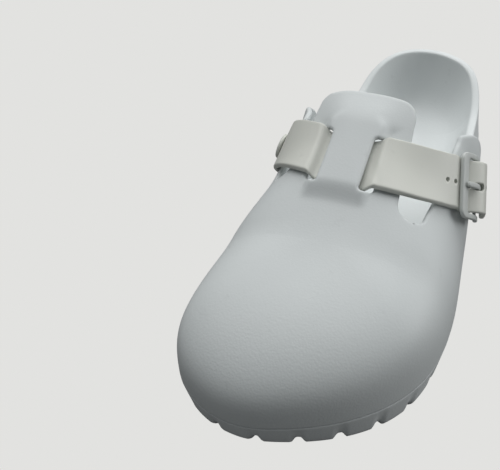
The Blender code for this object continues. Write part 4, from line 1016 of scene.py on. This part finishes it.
def tube_faces(rows, cols):
    """Faces of a grid closed round its columns, with a fan at each end to one of two last points."""
    i = np.arange(rows - 1) * cols
    wrap = np.column_stack([i + cols - 1, i + 2 * cols - 1, i + cols, i])
    caps = []
    for row, pole in ((0, rows * cols), (rows - 1, rows * cols + 1)):
        ring = row * cols + np.arange(cols)
        caps.append(np.column_stack([ring, np.roll(ring, -1), np.full(cols, pole)]))
    return [grid_quads(rows, cols), wrap] + caps


def make_strap():
    """Section carried along the path: rows are splined along it, section points by shares of a row.
    Both ends are drawn in on part of a quarter circle."""
    lower, upper = strap_faces()
    run, _ = along_rows(lower, upper)
    at = np.linspace(0.0, run[-1], STRAP_ROWS)
    lower, upper = cubic_through(run, lower, at), cubic_through(run, upper, at)
    across, level = strap_section()
    count = len(STRAP_ACROSS)
    place = (across + 0.5) * (count - 1)
    k = np.clip(np.floor(place).astype(int), 0, count - 2)
    part = (place - k)[None, :, None]
    low = lower[:, k] * (1.0 - part) + lower[:, k + 1] * part
    high = upper[:, k] * (1.0 - part) + upper[:, k + 1] * part
    body = low + (high - low) * (level + 0.5)[None, :, None]
    shrink = np.minimum(np.minimum(at, run[-1] - at) / STRAP_EDGE, 1.0)
    shrink = 1.0 - (1.0 - np.sqrt(1.0 - (1.0 - shrink) ** 2)) * STRAP_DRAW
    middle_face = (low + high) / 2.0
    body = middle_face + (body - middle_face) * shrink[:, None, None]
    verts = np.vstack([body.reshape(-1, 3), body[[0, -1]].mean(axis=1)])
    return mesh_piece("strap_strip", verts, tube_faces(*body.shape[:2]), STRAP_FOAM, "strap")


STRAP_FOAM = foam_finish("strap_foam", (0.640, 0.652, 0.600), (0.617, 0.629, 0.580),
                         0.42, 1300.0, 0.12, 0.6, 0.4, 0.45)
strap = make_strap()


def prong_place():
    """Where the strap, rising over the hinge, passes through the pin's level."""
    places = np.linspace(BAR_PLACE, HINGE_PLACE - STRAP_CREST, 60)
    return float(np.interp(FRAME_THICK / 2.0 + GAP + 0.3 * PRONG_THICK, strap_rise(places), places))


def hole_spots():
    """Middle point and directions of each hole, spaced evenly along the strap's middle line."""
    lower, upper = strap_faces()
    run, middle = along_rows(lower, upper)
    past = int(np.argmax(middle[:, 2]))
    start = float(np.interp(prong_place(), to_buckle(middle[past:])[:, 0], run[past:]))
    at = start + HOLE_PITCH * np.arange(-HOLES_BEFORE, HOLES_AFTER + 1)
    step = 0.5
    point = cubic_through(run, middle, at)
    down = unit(cubic_through(run, middle, at + step) - cubic_through(run, middle, at - step))
    across = cubic_through(run, upper[:, -1] - upper[:, 0], at)
    across = unit(across - down * np.sum(across * down, axis=1)[:, None])
    return point, down, across, np.cross(down, across)


def punch(target, spots):
    """Exact boolean with one straight-sided pin per hole, its outline a circle drawn out for the pin."""
    for k, (point, down, across, out) in enumerate(zip(*spots)):
        for_pin = k == HOLES_BEFORE
        wide = PRONG_WIDTH / 2.0 + GAP + HOLE_SPARE if for_pin else HOLE_RADIUS
        turn = np.radians(np.arange(0.0, 360.0, 15.0))
        u = wide * np.cos(turn) + np.where(np.cos(turn) > 0.0, 0.5, -0.5) * (PIN_HOLE if for_pin else 0.0)
        ring = u[:, None] * down + (wide * np.sin(turn))[:, None] * across
        verts = np.vstack([point + ring - 2.0 * STRAP_THICK * out, point + ring + 2.0 * STRAP_THICK * out])
        count = len(turn)
        i = np.arange(count)
        faces = np.column_stack([i, (i + 1) % count, count + (i + 1) % count, count + i]).tolist()
        mesh = bpy.data.meshes.new("punch")
        faces += [list(range(count))[::-1], list(range(count, 2 * count))]
        mesh.from_pydata(((verts + SHIFT) * MM).tolist(), [], faces)
        pin = add_object("punch", mesh)
        cutter = target.modifiers.new("hole", "BOOLEAN")
        cutter.operation = "DIFFERENCE"
        cutter.solver = "EXACT"
        cutter.object = pin
        graph = bpy.context.evaluated_depsgraph_get()
        graph.update()
        holed = bpy.data.meshes.new_from_object(target.evaluated_get(graph))
        target.modifiers.clear()
        target.data = holed
        bpy.data.objects.remove(pin)


punch(strap, hole_spots())

# Buckle
# Frame of hard matt plastic, bowed to the side of the foot: a wide outer bar for the pin's point
# and a thin one that the pin and the wing's tie strip turn on. All its edges are softly rounded.

FRAME_MARGIN = 0.6
FRAME_SIDE = 2.8
FRAME_CORNER = 4.0
BAR_ROUND = 0.85
SECTION_STEPS = 6
WINDOW_CORNER = 1.5
SIDE_STEPS = (10, 14, 10, 14)


def round_rectangle(half_along, half_across, radius, steps, sides):
    """Corner-rounded rectangle, points added evenly along each straight side."""
    points = []
    for u, w, start in ((1, -1, -90.0), (1, 1, 0.0), (-1, 1, 90.0), (-1, -1, 180.0)):
        centre = (u * (half_along - radius), w * (half_across - radius))
        points.append(arc_points(centre, radius, start, start + 90.0, steps))
    filled = []
    for k, (arc, count) in enumerate(zip(points, sides)):
        follow = points[(k + 1) % 4][0]
        run = np.linspace(0.0, 1.0, count + 1)[1:-1, None]
        filled.append(np.vstack([arc, arc[-1] + (follow - arc[-1]) * run]))
    return np.vstack(filled)


def frame_points():
    """Rounded section between the outer and the inner outline, carried round and bowed."""
    half_window = STRAP_WIDTH / 2.0 + FRAME_MARGIN
    front = -FRAME_LENGTH / 2.0 + FRAME_BAR
    hinge_back = HINGE_PLACE - HINGE_BAR / 2.0
    outer = round_rectangle(FRAME_LENGTH / 2.0, half_window + FRAME_SIDE, FRAME_CORNER, 10, SIDE_STEPS)
    inner = round_rectangle((hinge_back - front) / 2.0, half_window, WINDOW_CORNER, 10, SIDE_STEPS)
    inner = inner + np.array([(hinge_back + front) / 2.0, 0.0])
    gap = inner - outer
    width = np.linalg.norm(gap, axis=1)
    slim = ease((outer[:, 0] - hinge_back + 2.0) / 2.0)
    high = 0.5 * (FRAME_THICK + (HINGE_BAR - FRAME_THICK) * slim)
    radius = np.minimum(BAR_ROUND, 0.48 * np.minimum(width, 2.0 * high))
    ring = []
    for side, top, start in ((1, -1, -90.0), (1, 1, 0.0), (0, 1, 90.0), (0, -1, 180.0)):
        for t in np.radians(np.linspace(start, start + 90.0, SECTION_STEPS)):
            u = side * (width - 2.0 * radius) + radius + radius * math.cos(t)
            level = top * (high - radius) + radius * math.sin(t)
            ring.append(np.column_stack([outer + gap * (u / width)[:, None], level]))
    return to_shoe(np.stack(ring, axis=1))


HARD = foam_finish("buckle_plastic", (0.520, 0.545, 0.525), (0.500, 0.525, 0.508),
                   0.38, 1500.0, 0.08, 0.5, 0.25, 0.5)
frame_grid = frame_points()
closed_grid = np.concatenate([frame_grid, frame_grid[:, :1]], axis=1)
mesh_piece("buckle_moulding", closed_grid.reshape(-1, 3), [grid_quads(*closed_grid.shape[:2], closed=True)],
           HARD, "buckle_frame")

# Buckle pin
# Hard plastic rod with a blunt rounded point that rests across the outer bar, turning on the hinge
# bar by an eye.

PIN_KNEE = 4.5            # how far before the hinge bar the pin has left its eye
TIP_PAST = 0.1            # share of the outer bar by which its tip passes the bar's middle
EYE_TURN = (-150.0, 90.0, 28)     # first and last degree of its eye, and the number of points
SQUARENESS = 0.55         # power that rounds the pin's square section


def pin_points():
    """Rounded square section carried along the pin: round the hinge bar's eye, then out to the tip."""
    rest = FRAME_THICK / 2.0 + GAP
    lift = HINGE_LOOP - PRONG_THICK
    tip = BAR_PLACE - TIP_PAST * FRAME_BAR
    middle = PRONG_THICK / 2.0
    ring_radius = (HINGE_EYE + HINGE_LOOP) / 2.0
    turn = np.radians(np.linspace(*EYE_TURN))
    eye = np.column_stack([HINGE_PLACE + ring_radius * np.cos(turn), ring_radius * np.sin(turn)])
    run = np.linspace(0.0, 1.0, 22)[1:]
    first = np.column_stack([HINGE_PLACE - PIN_KNEE * run,
                             ring_radius + (lift + middle - ring_radius) * ease(run)])
    second = np.column_stack([HINGE_PLACE - PIN_KNEE + (tip + middle - HINGE_PLACE + PIN_KNEE) * run,
                              lift + middle + (rest - lift) * ease(1.6 * run)])
    path = np.vstack([eye, first, second])
    along = unit(np.gradient(path, axis=0))
    square = np.column_stack([-along[:, 1], along[:, 0]])
    thin = LOOP_WALL / 2.0
    wall = np.r_[np.full(len(eye), thin), thin + (middle - thin) * ease(run * 1.5), np.full(len(run), middle)]
    tip_turn = np.radians(np.linspace(0.0, 90.0, 8))[1:]
    cap = path[-1] + middle * np.sin(tip_turn)[:, None] * along[-1]
    path = np.vstack([path, cap])
    square = np.vstack([square, np.repeat(square[-1:], len(cap), axis=0)])
    scale = np.r_[np.ones(len(path) - len(cap)), np.maximum(np.cos(tip_turn), 0.02)]
    wall = np.r_[wall, np.full(len(cap), middle)]
    sector = np.radians(np.arange(0.0, 360.0, 15.0))
    u, v = [np.sign(wave) * np.abs(wave) ** SQUARENESS for wave in (np.cos(sector), np.sin(sector))]
    plan = path[:, None] + square[:, None] * (v[None, :, None] * (wall * scale)[:, None, None])
    width = (PRONG_WIDTH / 2.0) * u[None, :] * scale[:, None]
    return to_shoe(np.stack([plan[..., 0], width, plan[..., 1]], axis=-1))


pin_grid = pin_points()
pin_verts = np.vstack([pin_grid.reshape(-1, 3), pin_grid[[0, -1]].mean(axis=1)])
mesh_piece("buckle_pin", pin_verts, tube_faces(*pin_grid.shape[:2]), HARD, "buckle_prong")

# Hinge strip
# The short foam strip looped round the hinge bar and moulded on to the wing: the solid's own shape.

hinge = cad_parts["hinge_tab"]
hinge.data.materials.clear()
hinge.data.materials.append(MOULDED)

# Stud
# Turned round head of the rivet that holds the strap's inner end, with a raised rim and dished face.

STUD_ANGLE = 24.0
STUD_RADIUS = 6.6
STUD_THICK = 1.8
STUD_PROFILE = ((0.0, 0.0), (0.97, 0.0), (1.0, 0.12), (1.0, 0.50), (0.97, 0.80), (0.91, 0.97),
                (0.84, 0.98), (0.78, 0.82), (0.73, 0.72), (0.5, 0.68), (0.0, 0.68))
STUD_SPREAD = 6.0         # degrees to each side that give the strap's direction at the stud
STUD_GAP = GAP + 0.1


def stud_points():
    """Profile of radius and height shares turned about the axis square to the strap's middle."""
    degrees = [STUD_ANGLE + STUD_SPREAD, STUD_ANGLE, STUD_ANGLE - STUD_SPREAD]
    upper, lower = strap_side(-1, degrees, 0.5), strap_side(-1, degrees, -0.5)
    centre = len(STRAP_ACROSS) // 2
    down = unit(upper[2, centre] - upper[0, centre])
    across = upper[1, -1] - upper[1, 0]
    across = unit(across - down * across.dot(down))
    out = np.cross(down, across)
    out = out if out.dot(upper[1, centre] - lower[1, centre]) > 0.0 else -out
    base = upper[1, centre] + out * STUD_GAP
    profile = np.array(STUD_PROFILE)
    turn = np.radians(np.arange(0.0, 361.0, 5.0))
    spoke = down * np.cos(turn)[:, None] + across * np.sin(turn)[:, None]
    return base + spoke[:, None] * (profile[:, :1] * STUD_RADIUS) + out * (profile[:, 1:] * STUD_THICK)


stud_grid = stud_points()
mesh_piece("stud_head", stud_grid.reshape(-1, 3), [grid_quads(*stud_grid.shape[:2])],
           STRAP_FOAM, "strap_stud")

# Floor, light and camera
# A plain pale floor, one large soft light high behind the heel, a small weak one low on the outer
# side, and a camera at the photograph's angle to the shoe.

PALE = (0.761, 0.761, 0.745)
FLOOR_GREY = (0.16, 0.16, 0.16)   # what the floor reflects to the shoe
SKY = (0.95, 0.98, 1.0)
SKY_STRENGTH = 0.21
FLOOR_HALF = 6.0


def camera_mix(tree, lit, shown, output):
    """Shows one shader to the camera and gives all other rays the other."""
    seen = tree.nodes.new("ShaderNodeLightPath")
    pick = tree.nodes.new("ShaderNodeMixShader")
    tree.links.new(seen.outputs["Is Camera Ray"], pick.inputs[0])
    tree.links.new(lit.outputs[0], pick.inputs[1])
    tree.links.new(shown.outputs[0], pick.inputs[2])
    tree.links.new(pick.outputs[0], tree.nodes.new(output).inputs["Surface"])


floor_mesh = bpy.data.meshes.new("floor")
floor_corners = [(FLOOR_HALF * u, FLOOR_HALF * v, 0.0) for u, v in ((-1, -1), (1, -1), (1, 1), (-1, 1))]
floor_mesh.from_pydata(floor_corners, [], [(0, 1, 2, 3)])
floor = add_object("floor", floor_mesh)
floor_paint = bpy.data.materials.new("floor_paint")
floor_paint.use_nodes = True
tree = floor_paint.node_tree
tree.nodes.clear()
bounce = node_link(tree, tree.nodes.new("ShaderNodeBsdfDiffuse"), {"Color": (*FLOOR_GREY, 1.0)})
glow = node_link(tree, tree.nodes.new("ShaderNodeEmission"), {"Color": (*PALE, 1.0), "Strength": 1.0})
camera_mix(tree, bounce, glow, "ShaderNodeOutputMaterial")
floor_mesh.materials.append(floor_paint)

world = bpy.data.worlds.new("studio")
bpy.context.scene.world = world
world.use_nodes = True
tree = world.node_tree
tree.nodes.clear()
dim, plain = [
    node_link(tree, tree.nodes.new("ShaderNodeBackground"), {"Color": (*colour, 1.0), "Strength": strength})
    for colour, strength in ((SKY, SKY_STRENGTH), (PALE, 1.0))
]
camera_mix(tree, dim, plain, "ShaderNodeOutputWorld")


def soft_light(name, place, aim, size, power):
    """Square area light at a place in metres, turned to face its aim."""
    lamp = bpy.data.lights.new(name, "AREA")
    lamp.shape = "SQUARE"
    lamp.size = size
    lamp.energy = power
    made = add_object(name, lamp)
    made.location = place
    made.rotation_euler = (Vector(aim) - Vector(place)).to_track_quat("-Z", "Y").to_euler()


soft_light("overhead", (-0.20, 0.47, 0.97), (0.0, 0.0, 0.04), 1.5, 15.0)
soft_light("fill", (0.9, 0.35, 0.40), (0.03, 0.0, 0.04), 0.6, 3.4)

AZIMUTH = math.radians(27.37)
ELEVATION = math.radians(41.30)
ROLL = math.radians(-5.31)
DISTANCE = 418.15
FOCAL_PIXELS = 844.56
FRAME_PIXELS = 500.0
TARGET = np.array([-50.98, -53.54, 40.07])
LENS_SHIFT = (0.03632, 0.02668)

level = math.cos(ELEVATION)
back = Vector((math.sin(AZIMUTH) * level, -math.cos(AZIMUTH) * level, math.sin(ELEVATION)))
right = Vector((math.cos(AZIMUTH), math.sin(AZIMUTH), 0.0))
up = back.cross(right)
rolled_right = right * math.cos(ROLL) + up * math.sin(ROLL)
rolled_up = up * math.cos(ROLL) - right * math.sin(ROLL)
place = Vector((TARGET + SHIFT) * MM) + back * (DISTANCE * MM)
lens = bpy.data.cameras.new("camera")
lens.sensor_width = 36.0
lens.lens = FOCAL_PIXELS / FRAME_PIXELS * lens.sensor_width
lens.shift_x, lens.shift_y = LENS_SHIFT
lens.clip_start = 0.02
lens.clip_end = 30.0
camera = add_object("camera", lens)
turn = Matrix((rolled_right, rolled_up, back)).transposed().to_4x4()
camera.matrix_world = Matrix.Translation(place) @ turn
bpy.context.scene.camera = camera
bpy.context.scene.view_settings.view_transform = "Standard"
